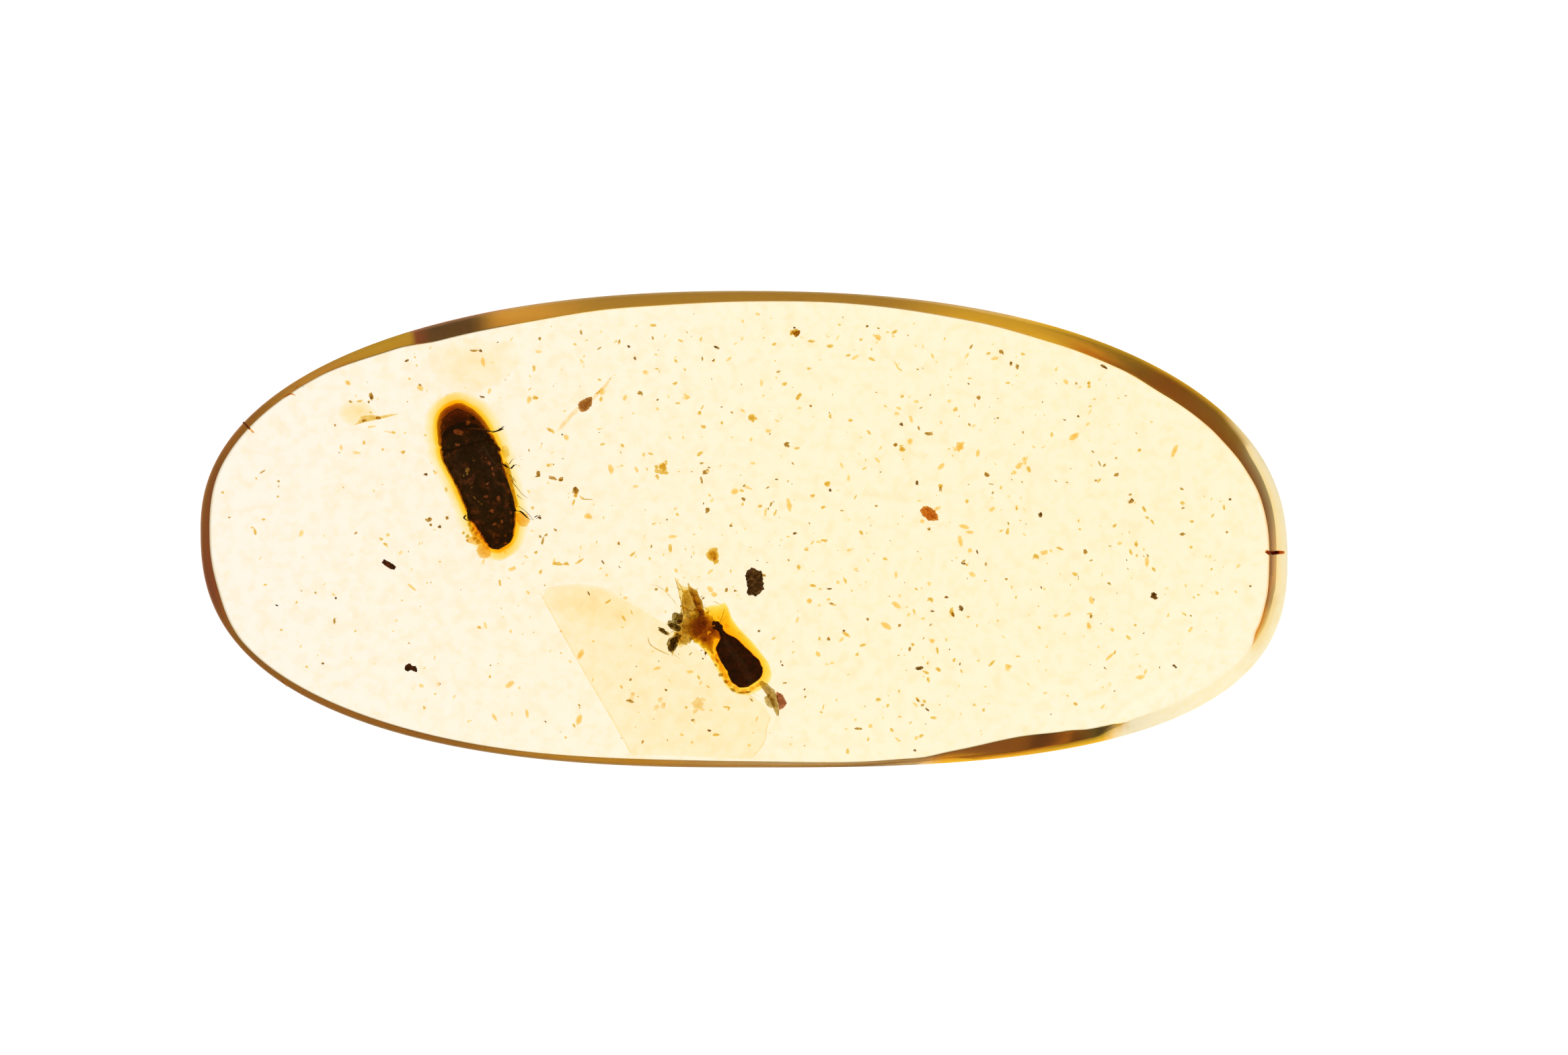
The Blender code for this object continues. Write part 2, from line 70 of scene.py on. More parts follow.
picture_width = PICTURE[0] / PIXELS_PER_MM * MM
distance = picture_width * LENS / SENSOR
camera_data = bpy.data.cameras.new("camera")
camera_data.lens = LENS
camera_data.sensor_width = SENSOR
camera_data.clip_start = NEAREST
camera_data.clip_end = FURTHEST
camera = bpy.data.objects.new("camera", camera_data)
bpy.context.scene.collection.objects.link(camera)
camera.location = (
    (PICTURE[0] / 2.0 - STONE_MIDDLE_PIXEL[0]) / PIXELS_PER_MM * MM,
    (STONE_MIDDLE_PIXEL[1] - PICTURE[1] / 2.0) / PIXELS_PER_MM * MM,
    GIRDLE_HEIGHT + distance)
bpy.context.scene.camera = camera
print("camera height, mm:", round(camera.location.z / MM, 2))


def at_pixel(right, down, height=INCLUSION_HEIGHT / MM):
    """Place in the frame, in metres, of something seen at a pixel and lying at a height in mm."""
    return Vector(((right - STONE_MIDDLE_PIXEL[0]) / PIXELS_PER_MM * MM,
                   (STONE_MIDDLE_PIXEL[1] - down) / PIXELS_PER_MM * MM,
                   height * MM))


# %% [markdown]
# ## Small helpers
#
# Each piece is made in a bmesh, put in an object at the origin, given its material, and set to
# ride on the one body of the frame. A material is a Principled shader with a few nodes before it,
# and almost every one starts from noise that a colour ramp turns into tones, so both have a helper.

# %% Helpers for pieces and materials
def piece_from(name, bm, material):
    """Turn a bmesh into a named, smoothly shaded piece that rides on the body."""
    mesh = bpy.data.meshes.new(name)
    bm.to_mesh(mesh)
    bm.free()
    mesh.materials.append(material)
    mesh.shade_smooth()
    piece = bpy.data.objects.new(name, mesh)
    bpy.context.scene.collection.objects.link(piece)
    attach(piece, BODY)
    print(f"{name}: {len(mesh.polygons)} faces")
    return piece


def new_material(name):
    """An empty Principled material, with its node tree, shader and output."""
    material = bpy.data.materials.new(name)
    material.use_nodes = True
    tree = material.node_tree
    return material, tree, tree.nodes["Principled BSDF"], tree.nodes["Material Output"]


def add_node(tree, kind, **values):
    """Add a node and set its properties and its inputs, given by name."""
    node = tree.nodes.new(kind)
    for name, value in values.items():
        if hasattr(node, name):
            setattr(node, name, value)
        else:
            node.inputs[name.replace("_", " ")].default_value = value
    return node


def ramp(tree, value_socket, stops):
    """A colour ramp fed by a socket, with stops of (position, colour)."""
    node = tree.nodes.new("ShaderNodeValToRGB")
    while len(node.color_ramp.elements) < len(stops):
        node.color_ramp.elements.new(0.5)
    for element, (position, colour) in zip(node.color_ramp.elements, stops):
        element.position = position
        element.color = (*colour, 1.0)
    tree.links.new(value_socket, node.inputs["Fac"])
    return node


# %% [markdown]
# ## The amber
#
# The stone is a cabochon: a flat base, a rounded lower edge, a girdle, steep polished walls and
# a low dome, with a crisp arris where wall meets dome. One disc is extruded ring by ring along
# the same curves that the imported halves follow, only with many more points, because clear
# material shows every facet. It is one closed solid, since the parting only exists in the model.

# %% The stone's curves
HALF_LENGTH = 10.0 * MM
HALF_WIDTH = 4.385 * MM
HEIGHT = 3.6 * MM
DROOP = 0.57 * MM                  # how far the right-hand tip hangs towards -Y
FULLNESS = (2.5, 2.22, 2.5, 2.45)  # superellipse exponent of each quarter, from +X and +Y on

# Round the stone, by degrees from the right-hand tip towards +Y: the widths seen from above of
# the gentle bevel and of the steep wall over it, in mm
BEVEL_WIDTH = ((0, 0.19), (12, 0.17), (20, 0.16), (27, 0.09), (32, 0.05), (42, 0.05), (60, 0.03),
               (85, 0.0), (278, 0.0), (284, 0.03), (288, 0.07), (302, 0.06), (306, 0.07), (309, 0.16),
               (312, 0.24), (335, 0.24), (348, 0.20), (360, 0.19))
WALL_WIDTH = ((0, 0.18), (12, 0.22), (20, 0.26), (27, 0.34), (32, 0.37), (42, 0.37), (50, 0.32),
              (60, 0.30), (70, 0.26), (85, 0.21), (100, 0.27), (113, 0.34), (122, 0.34), (128, 0.26),
              (140, 0.18), (165, 0.19), (180, 0.23), (190, 0.25), (205, 0.15), (225, 0.16), (250, 0.14),
              (265, 0.16), (278, 0.12), (284, 0.12), (297, 0.31), (302, 0.28), (306, 0.21),
              (309, 0.11), (311, 0.02), (340, 0.02), (345, 0.13), (352, 0.16), (360, 0.18))
NARROW_WALL = (0.02 * MM, 0.10 * MM)  # between these widths the wall melts into the bevel

# From the base up: the share of the rim's width that each ring stands in, and its height
LOWER_RINGS = ((1.0, 0.0), (0.78, 0.03 * MM), (0.60, 0.09 * MM), (0.43, 0.18 * MM),
               (0.29, 0.30 * MM), (0.17, 0.45 * MM), (0.08, 0.62 * MM), (0.025, 0.82 * MM))
BEVEL_SLOPE = 1.4                  # rise over run of the gentle bevel above the girdle
LEAST_RUN = 0.02 * MM              # the bevel's run and rise where it all but vanishes
LEAST_RISE = 0.10 * MM
WIDEST_BEVEL = 0.35 * MM

# The domed top: how far it falls to the tips and the long sides, and a corner polished lower
FALL_TO_TIPS = 0.65 * MM
FALL_TO_SIDES = 0.55 * MM
LOW_CORNER = Vector((0.60, -0.80))  # the way to the corner
LOW_CORNER_START = 4.0 * MM
LOW_CORNER_FALL = 0.131 / MM        # per square metre past the start


def value_round(keys, degrees):
    """Value at an angle, eased between keys of (degrees, value)."""
    for (start, low), (end, high) in zip(keys, keys[1:]):
        if start <= degrees <= end:
            share = (degrees - start) / (end - start)
            eased = share * share * (3.0 - 2.0 * share)
            return low + (high - low) * eased
    return keys[-1][1]


# %% [markdown]
# The outline is a superellipse, rounder or squarer from quarter to quarter, whose right-hand tip
# droops. Everything above and below it is the same outline drawn in by a width, so each curve
# needs only an angle and a share of the way up, and the walls can widen and narrow round the
# stone as the rim of a hand-ground piece does.

# %% Points of the stone by angle
def girdle_point(degrees):
    """Point of the girdle, seen from above: a superellipse with its right-hand tip drooping."""
    angle = math.radians(degrees)
    power = 2.0 / FULLNESS[int(degrees // 90) % 4]
    across = math.copysign(abs(math.cos(angle)) ** power, math.cos(angle))
    upward = math.copysign(abs(math.sin(angle)) ** power, math.sin(angle))
    droop = DROOP * max(across, 0.0) ** 2
    return Vector((HALF_LENGTH * across, HALF_WIDTH * upward - droop))


NORMAL_STEP = 0.5  # degrees to either side, from which the outline's normal is taken


def side_point(degrees, inset, height):
    """Point of the stone's side, moved in from the girdle along its normal."""
    ahead = girdle_point((degrees + NORMAL_STEP) % 360)
    behind = girdle_point((degrees - NORMAL_STEP) % 360)
    along = (ahead - behind).normalized()
    outward = Vector((along.y, -along.x))
    spot = girdle_point(degrees) - outward * inset
    return Vector((spot.x, spot.y, height))


def dome_height(spot):
    """Height of the domed top over a point of the base."""
    fall = FALL_TO_TIPS * (spot.x / HALF_LENGTH) ** 2 + FALL_TO_SIDES * (spot.y / HALF_WIDTH) ** 2
    past = max(0.0, spot.xy.dot(LOW_CORNER) - LOW_CORNER_START)
    return HEIGHT - fall - LOW_CORNER_FALL * past * past


def rim_width(degrees):
    """Width of the rim seen from above, from the girdle to the arris."""
    return (value_round(BEVEL_WIDTH, degrees) + value_round(WALL_WIDTH, degrees)) * MM


def lower_point(degrees, share, height):
    """Point of the rounded lower edge, which the rim hides from above."""
    return side_point(degrees, rim_width(degrees) * share, height)


def dome_point(degrees, share):
    """Point of the domed top at a share of the way from the crown to the arris."""
    spot = side_point(degrees, rim_width(degrees), 0.0) * share
    spot.z = dome_height(spot)
    return spot


def bevel_point(degrees):
    """Point where the gentle bevel ends and the steep wall starts.

    Where the wall narrows to nothing, the bevel climbs to the dome by itself.
    """
    run = value_round(BEVEL_WIDTH, degrees) * MM
    wall = value_round(WALL_WIDTH, degrees) * MM
    height = GIRDLE_HEIGHT + LEAST_RISE * (1.0 - run / WIDEST_BEVEL) + run * BEVEL_SLOPE
    least, enough = NARROW_WALL
    melted = min(1.0, max(0.0, (enough - wall) / (enough - least)))
    height += (dome_point(degrees, 1.0).z - height) * melted
    return side_point(degrees, run + LEAST_RUN, height)


def wall_point(degrees, share):
    """Point of the steep wall at a share of the way from the bevel to the arris."""
    return bevel_point(degrees).lerp(dome_point(degrees, 1.0), share)


print("rim seen from above, mm, at 0, 90, 180 and 270 degrees:",
      [round(rim_width(degrees) / MM, 2) for degrees in (0, 90, 180, 270)])

# %% [markdown]
# A loft of curves has no operator of its own, but an extrusion does the same work: the base disc is
# extruded once for each ring, and its points are moved to the ring's curve each time. The rings
# crowd at the arris, where the light turns, and a single point closes the crown. Every point
# keeps its ring and its number round the stone, which the tints need later.

# %% The stone's mesh
GIRDLE_POINTS = 360
WALL_SHARES = (0.15, 0.35, 0.55, 0.75, 0.90, 0.97)
DOME_SHARES = (1.0, 0.995, 0.985, 0.96, 0.92, 0.86, 0.78, 0.68, 0.56, 0.42, 0.26, 0.12)

rings = []
for share, height in LOWER_RINGS:
    rings.append(lambda degrees, s=share, h=height: lower_point(degrees, s, h))
rings.append(lambda degrees: side_point(degrees, 0.0, GIRDLE_HEIGHT))
rings.append(bevel_point)
for share in WALL_SHARES:
    rings.append(lambda degrees, s=share: wall_point(degrees, s))
for share in DOME_SHARES:
    rings.append(lambda degrees, s=share: dome_point(degrees, s))

stone = bmesh.new()
bmesh.ops.create_circle(stone, cap_ends=True, segments=GIRDLE_POINTS, radius=HALF_LENGTH)
slot = stone.verts.layers.int.new("slot")
level = stone.verts.layers.int.new("level")
for number, vert in enumerate(stone.verts):
    vert[slot] = number
top = stone.faces[:][0]
for number, ring in enumerate(rings):
    if number:
        made = bmesh.ops.extrude_face_region(stone, geom=[top])["geom"]
        if number > 1:
            bmesh.ops.delete(stone, geom=[top], context="FACES_ONLY")
        top = next(item for item in made if isinstance(item, bmesh.types.BMFace))
    for vert in top.verts:
        vert.co = ring(vert[slot] * 360.0 / GIRDLE_POINTS)
        vert[level] = number
crown = bmesh.ops.poke(stone, faces=[top])["verts"][0]
crown.co = (0.0, 0.0, HEIGHT)
crown[level] = len(rings)
bmesh.ops.recalc_face_normals(stone, faces=stone.faces)
print("stone volume, mm3:", round(stone.calc_volume() / MM ** 3, 1))

# %% [markdown]
# ## The rim's painted shade
#
# The walls were ground, but less well polished than the top. The steep walls bend the light from the
# table away, which makes a dark band round the stone, and that band is painted on the walls as a
# tint: painted shade. Each point of the wall stores its painted tint and its dullness, and the
# material reads both, so the painted shade follows the wall round the stone: golden along the top,
# umber in one patch, nearly clear where the right-hand corner was polished low.

# %% Painted shade of the rim
CLEAR = (1.0, 1.0, 1.0)
CREAM = (1.0, 0.96, 0.86)
SAND = (1.0, 0.86, 0.56)
GOLD = (1.0, 0.60, 0.04)
TAN = (1.0, 0.78, 0.48)
HONEY = (1.0, 0.76, 0.28)
OCHRE = (0.94, 0.50, 0.07)
SEPIA = (0.84, 0.28, 0.006)
MOSS = (0.88, 0.54, 0.04)
TOBACCO = (0.42, 0.16, 0.004)
BROWN = (0.60, 0.26, 0.025)
CLARET = (0.98, 0.55, 0.34)
RUST = (0.40, 0.105, 0.035)
OLIVE = (0.17, 0.13, 0.02)
UMBER = (0.19, 0.10, 0.03)
KHAKI = (0.62, 0.36, 0.05)

# Degrees round the stone, and the tints of painted shade at the girdle, at the wall's foot, near
# its top and at the arris
RIM_PAINTED_SHADE = (
    (0, CREAM, HONEY, SEPIA, SEPIA), (12, CREAM, HONEY, SEPIA, SEPIA), (20, CREAM, HONEY, SEPIA, OCHRE),
    (27, SAND, GOLD, SEPIA, SEPIA), (32, GOLD, OCHRE, SEPIA, SEPIA), (42, GOLD, SEPIA, SEPIA, MOSS),
    (49, GOLD, GOLD, TOBACCO, MOSS), (55, MOSS, GOLD, SEPIA, GOLD), (60, MOSS, MOSS, GOLD, GOLD),
    (70, TAN, MOSS, GOLD, SAND), (80, TAN, KHAKI, KHAKI, SAND), (102, TAN, KHAKI, KHAKI, GOLD),
    (112, TAN, OCHRE, OCHRE, MOSS), (114, CLARET, OCHRE, OCHRE, OLIVE), (118, CLARET, UMBER, UMBER, OLIVE),
    (123, CLARET, UMBER, UMBER, OLIVE), (125, CLARET, RUST, RUST, BROWN), (126, MOSS, MOSS, MOSS, OLIVE),
    (131, MOSS, MOSS, MOSS, OLIVE), (140, OCHRE, OCHRE, OCHRE, OLIVE), (155, CLARET, BROWN, BROWN, OLIVE),
    (172, CLARET, BROWN, RUST, OLIVE), (190, CLARET, RUST, RUST, OLIVE), (205, CLARET, BROWN, BROWN, OLIVE),
    (236, TAN, BROWN, BROWN, OLIVE), (262, TAN, OCHRE, GOLD, SAND), (272, TAN, OCHRE, SAND, CREAM),
    (284, TAN, OCHRE, SAND, CREAM), (287, GOLD, SEPIA, TOBACCO, OLIVE),
    (292, GOLD, TOBACCO, TOBACCO, OLIVE), (303, GOLD, TOBACCO, TOBACCO, OLIVE),
    (307, GOLD, OLIVE, OLIVE, OLIVE), (310, CREAM, GOLD, GOLD, GOLD),
    (312, CREAM, CREAM, CREAM, CLEAR), (338, CREAM, CREAM, CREAM, CLEAR),
    (343, CREAM, HONEY, SEPIA, SEPIA), (360, CREAM, HONEY, SEPIA, SEPIA))
print("tints round the rind:", len(RIM_PAINTED_SHADE))

# %% [markdown]
# Between two rows of that list the tints are eased into each other, and up the wall they run from
# one ring to the next. At the arris the painted shade is weakened, so the arris keeps only a trace of
# its tint. A Principled shader gives each crossing of a surface only the square root of its colour,
# so the square of the tint is stored.

# %% Painted shade and dullness of each point
DULLNESS = ((0, 0.28), (20, 0.32), (60, 0.34), (130, 0.32), (180, 0.30), (270, 0.30), (290, 0.16),
            (308, 0.14), (312, 0.10), (340, 0.10), (360, 0.28))
NEAR_TOP = 0.75      # share of the way up the wall at which the third tint stands
RUN_OUT = 0.4        # the arris keeps the tint to this power, and a power of 0 would leave it clear

# Where the right-hand end was polished low, a thin brown line is painted on the rings under the girdle
EDGE_LINE = (0.80, 0.50, 0.28)
LINE_RINGS = 3
LOW_END_STOPS = 30.0
LOW_END_STARTS = 309.0
girdle_level = len(LOWER_RINGS)
arris_level = girdle_level + 2 + len(WALL_SHARES)
wall_rings = arris_level - girdle_level
tint_places = (0.0, 1.5 / wall_rings, NEAR_TOP, 1.0)


def painted_rim_shade_at(degrees, across):
    """Painted shade of the rim, eased round the stone. Across is 0 at the girdle and 1 at the arris."""
    tints = []
    for column in range(1, 5):
        tints.append(Vector([value_round([(row[0], row[column][channel]) for row in RIM_PAINTED_SHADE], degrees)
                             for channel in range(3)]))
    for number, (start, end) in enumerate(zip(tint_places, tint_places[1:])):
        if across <= end:
            return tints[number].lerp(tints[number + 1], (across - start) / (end - start))
    return tints[-1]


# each point of the wall stores its painted shade and its dullness
tint_layer = stone.verts.layers.float_color.new("tint")
dull_layer = stone.verts.layers.float.new("dull")
for vert in stone.verts:
    degrees = vert[slot] * 360.0 / GIRDLE_POINTS
    across = (vert[level] - girdle_level) / wall_rings
    on_wall = 0 < vert[level] <= arris_level
    tint = painted_rim_shade_at(degrees, max(0.0, across)) if on_wall else Vector(CLEAR)
    if vert[level] == arris_level:
        tint = Vector([channel ** RUN_OUT for channel in tint])
    if vert[level] < girdle_level:
        tint = Vector(CLEAR).lerp(tint, vert[level] / girdle_level)
        at_low_end = not LOW_END_STOPS < degrees < LOW_END_STARTS
        if vert[level] >= girdle_level - LINE_RINGS and at_low_end:
            tint = Vector([channel * line for channel, line in zip(tint, EDGE_LINE)])
    vert[tint_layer] = (tint.x ** 2, tint.y ** 2, tint.z ** 2, 1.0)
    polished = not 0 < vert[level] < arris_level
    vert[dull_layer] = 0.0 if polished else value_round(DULLNESS, degrees)
print("rings of the wall:", wall_rings)

# %% [markdown]
# ## Clear amber
#
# Amber is a glass to the eye: it bends light as its index of 1.54 says, and it takes blue out of
# the light on the way through, so a thicker part is a deeper yellow. Fine clouding, a quarter of
# a millimetre across, mottles it, and it is a little yellower towards the right.

# %% Amber material
AMBER_IOR = 1.54
AMBER_LEFT_OVER = (0.985, 0.79, 0.42)
AMBER_DENSITY = 110.0
CLOUD_GRAIN = 4200.0
ARRIS_ANGLE = 22.0


def absorb_inside(tree, output, left_over, density):
    """Make a material take up light by depth. Left over is what remains of white light."""
    absorption = tree.nodes.new("ShaderNodeVolumeAbsorption")
    absorption.inputs["Color"].default_value = (*left_over, 1.0)
    absorption.inputs["Density"].default_value = density
    tree.links.new(absorption.outputs["Volume"], output.inputs["Volume"])


def multiplied(tree, first, second):
    """The product of two colour sockets."""
    product = add_node(tree, "ShaderNodeMix", data_type="RGBA", blend_type="MULTIPLY")
    product.inputs[0].default_value = 1.0
    tree.links.new(first, product.inputs[6])
    tree.links.new(second, product.inputs[7])
    return product.outputs[2]


amber, tree, shader, output = new_material("clear_amber")
shader.inputs["IOR"].default_value = AMBER_IOR
shader.inputs["Transmission Weight"].default_value = 1.0
place = tree.nodes.new("ShaderNodeTexCoord")
apart = tree.nodes.new("ShaderNodeSeparateXYZ")
tree.links.new(place.outputs["Object"], apart.inputs[0])
along = add_node(tree, "ShaderNodeMapRange")
along.inputs["From Min"].default_value = -HALF_LENGTH
along.inputs["From Max"].default_value = HALF_LENGTH
tree.links.new(apart.outputs["X"], along.inputs["Value"])
to_right = ramp(tree, along.outputs["Result"], (
    (0.0, (1.0, 1.0, 1.0)), (0.25, (1.0, 0.995, 0.94)),
    (0.55, (1.0, 0.995, 0.84)), (1.0, (1.0, 0.99, 0.80))))
clouds = add_node(tree, "ShaderNodeTexNoise", Scale=CLOUD_GRAIN, Detail=3.0, Roughness=0.6)
tree.links.new(place.outputs["Object"], clouds.inputs["Vector"])
cloud_tint = ramp(tree, clouds.outputs["Fac"], (
    (0.36, (0.975, 0.925, 0.80)), (0.50, (1.0, 0.99, 0.97)), (0.62, (1.0, 1.0, 1.0))))
# the walls' painted shade multiplies the amber's own tint
painted_rim_shade = add_node(tree, "ShaderNodeAttribute", attribute_name="tint")
inner_tint = multiplied(tree, to_right.outputs["Color"], cloud_tint.outputs["Color"])
whole_tint = multiplied(tree, inner_tint, painted_rim_shade.outputs["Color"])
tree.links.new(whole_tint, shader.inputs["Base Color"])
dull = add_node(tree, "ShaderNodeAttribute", attribute_name="dull")
tree.links.new(dull.outputs["Fac"], shader.inputs["Roughness"])
absorb_inside(tree, output, AMBER_LEFT_OVER, AMBER_DENSITY)

amber_stone = piece_from("amber_stone", stone, amber)
amber_stone.data.set_sharp_from_angle(angle=math.radians(ARRIS_ANGLE))
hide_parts("amber_lower", "amber_upper")

# %% [markdown]
# ## Finishes for what is sealed in the amber
#
# Seen against the light, thin things glow and thick things turn black. So most of the sealed
# pieces are not painted: they are tinted bodies that light passes, with almost no bending of
# their own, and they take more of the light where they are thicker. Only the beetles' cores and
# the darkest crumbs stop it altogether.

# %% Tinted and opaque finishes
INSIDE_IOR = 1.01


def tinted_finish(name, light_tint, dark_tint, grain, left_over, density):
    """A see-through finish: a surface tint in two tones by noise, and absorption by depth.

    Left over is the colour that remains of white light after one metre over the density.
    """
    material, tree, shader, output = new_material(name)
    shader.inputs["IOR"].default_value = INSIDE_IOR
    shader.inputs["Roughness"].default_value = 0.0
    shader.inputs["Transmission Weight"].default_value = 1.0
    place = tree.nodes.new("ShaderNodeTexCoord")
    cloud = add_node(tree, "ShaderNodeTexNoise", Scale=grain, Detail=4.0, Roughness=0.65)
    tree.links.new(place.outputs["Object"], cloud.inputs["Vector"])
    tones = ramp(tree, cloud.outputs["Fac"], ((0.38, dark_tint), (0.60, light_tint)))
    tree.links.new(tones.outputs["Color"], shader.inputs["Base Color"])
    absorb_inside(tree, output, left_over, density)
    return material


def opaque_finish(name, stops, grain, roughness, bump_depth):
    """An opaque finish: noise through a colour ramp, and a bump of the same grain."""
    material, tree, shader, output = new_material(name)
    shader.inputs["Roughness"].default_value = roughness
    shader.inputs["Specular IOR Level"].default_value = 0.3
    place = tree.nodes.new("ShaderNodeTexCoord")
    cloud = add_node(tree, "ShaderNodeTexNoise", Scale=grain, Detail=6.0, Roughness=0.7)
    tree.links.new(place.outputs["Object"], cloud.inputs["Vector"])
    tones = ramp(tree, cloud.outputs["Fac"], stops)
    tree.links.new(tones.outputs["Color"], shader.inputs["Base Color"])
    bump = add_node(tree, "ShaderNodeBump", Strength=0.7, Distance=bump_depth)
    tree.links.new(cloud.outputs["Fac"], bump.inputs["Height"])
    tree.links.new(bump.outputs["Normal"], shader.inputs["Normal"])
    return material


print("index inside the stone:", INSIDE_IOR)

# %% [markdown]
# The beetles' cores, the soil and the wood stop the light. They are dark, in two to four tones by
# noise, with a bump of the same grain. On a beetle's belly the peach and gold marks are painted
# highlights, and the red-brown patches are its own colour; all are seen by the weak light from
# above, so their colours are far brighter than they look.

# %% Opaque finishes
chitin = opaque_finish("dark_chitin", (
    (0.38, (0.004, 0.003, 0.003)), (0.48, (0.014, 0.010, 0.012)),
    (0.57, (0.07, 0.032, 0.036)), (0.66, (0.36, 0.16, 0.15))), 5200.0, 0.5, 0.012 * MM)
brown_chitin = opaque_finish("brown_chitin", (
    (0.36, (0.020, 0.012, 0.010)), (0.52, (0.075, 0.022, 0.016)),
    (0.68, (0.160, 0.055, 0.035))), 9000.0, 0.6, 0.008 * MM)
soil = opaque_finish("dark_soil", (
    (0.35, (0.04, 0.025, 0.015)), (0.50, (0.18, 0.13, 0.07)),
    (0.62, (0.46, 0.36, 0.20)), (0.74, (0.95, 0.85, 0.60))), 14000.0, 0.9, 0.03 * MM)
wood = opaque_finish("dark_wood", (
    (0.36, (0.04, 0.025, 0.02)), (0.60, (0.30, 0.12, 0.07)),
    (0.75, (0.55, 0.28, 0.16))), 11000.0, 0.8, 0.012 * MM)
# painted highlights: the peach spot and the gold flecks on the larger beetle
painted_peach_highlight = opaque_finish("painted_peach_highlight", (
    (0.36, (0.60, 0.28, 0.14)), (0.62, (0.98, 0.60, 0.38))), 30000.0, 0.8, 0.004 * MM)
painted_gold_highlight = opaque_finish("painted_gold_highlight", (
    (0.36, (0.45, 0.34, 0.12)), (0.62, (1.0, 0.92, 0.40))), 30000.0, 0.8, 0.004 * MM)
maroon_mark = opaque_finish("maroon_mark", (
    (0.36, (0.34, 0.14, 0.12)), (0.62, (0.90, 0.42, 0.36))), 22000.0, 0.8, 0.006 * MM)

# %% [markdown]
# What surrounds the beetles lets light through. Their cuticle is thin and olive or brown at its
# edges, and the amber beside a beetle took up what leaked from it, so it is stained from pale
# yellow to orange. A stain is a body of its own inside the stone, and it is strongest where it is
# thickest, which blurs its edge with no image.

# %% Finishes of the beetles and their stains
cuticle = tinted_finish(
    "olive_cuticle", (0.98, 0.74, 0.26), (0.80, 0.56, 0.14), 9000.0, (0.70, 0.61, 0.0), 14000.0)
flesh = tinted_finish(
    "dark_flesh", (0.78, 0.82, 0.44), (0.40, 0.42, 0.16), 5200.0, (0.64, 0.68, 0.10), 6500.0)
brown_cuticle = tinted_finish(
    "brown_cuticle", (1.0, 0.70, 0.25), (0.85, 0.50, 0.15), 9000.0, (0.66, 0.20, 0.0), 30000.0)
stain = tinted_finish(
    "amber_stain", (1.0, 1.0, 1.0), (1.0, 0.99, 0.95), 3000.0, (1.0, 0.83, 0.0), 4400.0)
bright_stain = tinted_finish(
    "bright_stain", (1.0, 1.0, 0.98), (1.0, 0.97, 0.85), 5000.0, (1.0, 0.90, 0.0), 22000.0)
orange_stain = tinted_finish(
    "orange_stain", (1.0, 0.99, 0.90), (1.0, 0.94, 0.70), 6000.0, (1.0, 0.87, 0.0), 26000.0)
tissue = tinted_finish(
    "orange_tissue", (0.96, 0.86, 0.40), (0.68, 0.54, 0.16), 12000.0, (0.82, 0.70, 0.0), 30000.0)
froth_finish = tinted_finish(
    "orange_froth", (1.0, 0.90, 0.64), (0.88, 0.62, 0.30), 16000.0, (0.95, 0.74, 0.0), 14000.0)

# %% [markdown]
# The plant scraps, the seed, the grain and the bead are thin or glassy enough to glow from below
# as well. Each has a lighter and a darker tone that show as its cells or its roughness.

# %% Finishes of the plant scraps and grains
leaf = tinted_finish(
    "olive_leaf", (0.95, 0.84, 0.46), (0.56, 0.44, 0.18), 12000.0, (0.80, 0.62, 0.0), 36000.0)
web = tinted_finish(
    "pale_web", (1.0, 0.96, 0.80), (0.86, 0.74, 0.50), 14000.0, (0.92, 0.80, 0.0), 14000.0)
dark_leaf = tinted_finish(
    "grey_green_leaf", (0.66, 0.57, 0.28), (0.26, 0.20, 0.08), 14000.0, (0.52, 0.40, 0.04), 32000.0)
grey_leaf = tinted_finish(
    "grey_blade", (0.86, 0.74, 0.46), (0.48, 0.38, 0.18), 14000.0, (0.66, 0.50, 0.0), 24000.0)
grain_finish = tinted_finish(
    "red_grain", (0.80, 0.46, 0.32), (0.30, 0.12, 0.09), 16000.0, (0.60, 0.30, 0.0), 14000.0)
seed_finish = tinted_finish(
    "seed_coat", (0.80, 0.60, 0.30), (0.45, 0.24, 0.10), 14000.0, (0.66, 0.40, 0.0), 16000.0)
bead_finish = tinted_finish(
    "red_resin", (0.94, 0.62, 0.24), (0.46, 0.17, 0.04), 14000.0, (0.86, 0.56, 0.0), 14000.0)

# %% [markdown]
# The specks run from nearly black bark dust to pale frass. A flow film is only a little darker
# than the amber it lies in, because two pours of resin met there and a skin had formed on one.

# %% Finishes of the specks and the films
orange_speck = tinted_finish(
    "orange_speck", (1.0, 0.92, 0.62), (0.86, 0.68, 0.34), 16000.0, (0.86, 0.70, 0.0), 26000.0)
brown_speck = tinted_finish(
    "brown_speck", (0.86, 0.70, 0.36), (0.50, 0.36, 0.13), 18000.0, (0.68, 0.50, 0.0), 26000.0)
dark_speck = tinted_finish(
    "dark_speck", (0.60, 0.44, 0.20), (0.24, 0.15, 0.05), 18000.0, (0.48, 0.32, 0.0), 28000.0)
yellow_speck = tinted_finish(
    "yellow_speck", (1.0, 0.94, 0.74), (0.95, 0.80, 0.50), 14000.0, (0.95, 0.74, 0.05), 14000.0)
pale_speck = tinted_finish(
    "pale_speck", (1.0, 0.96, 0.86), (0.96, 0.84, 0.64), 12000.0, (0.92, 0.80, 0.40), 9000.0)
film_finish = tinted_finish(
    "flow_film", (1.0, 1.0, 0.99), (1.0, 0.965, 0.90), 3600.0, (0.97, 0.76, 0.0), 7000.0)
print("finishes:", len(bpy.data.materials))

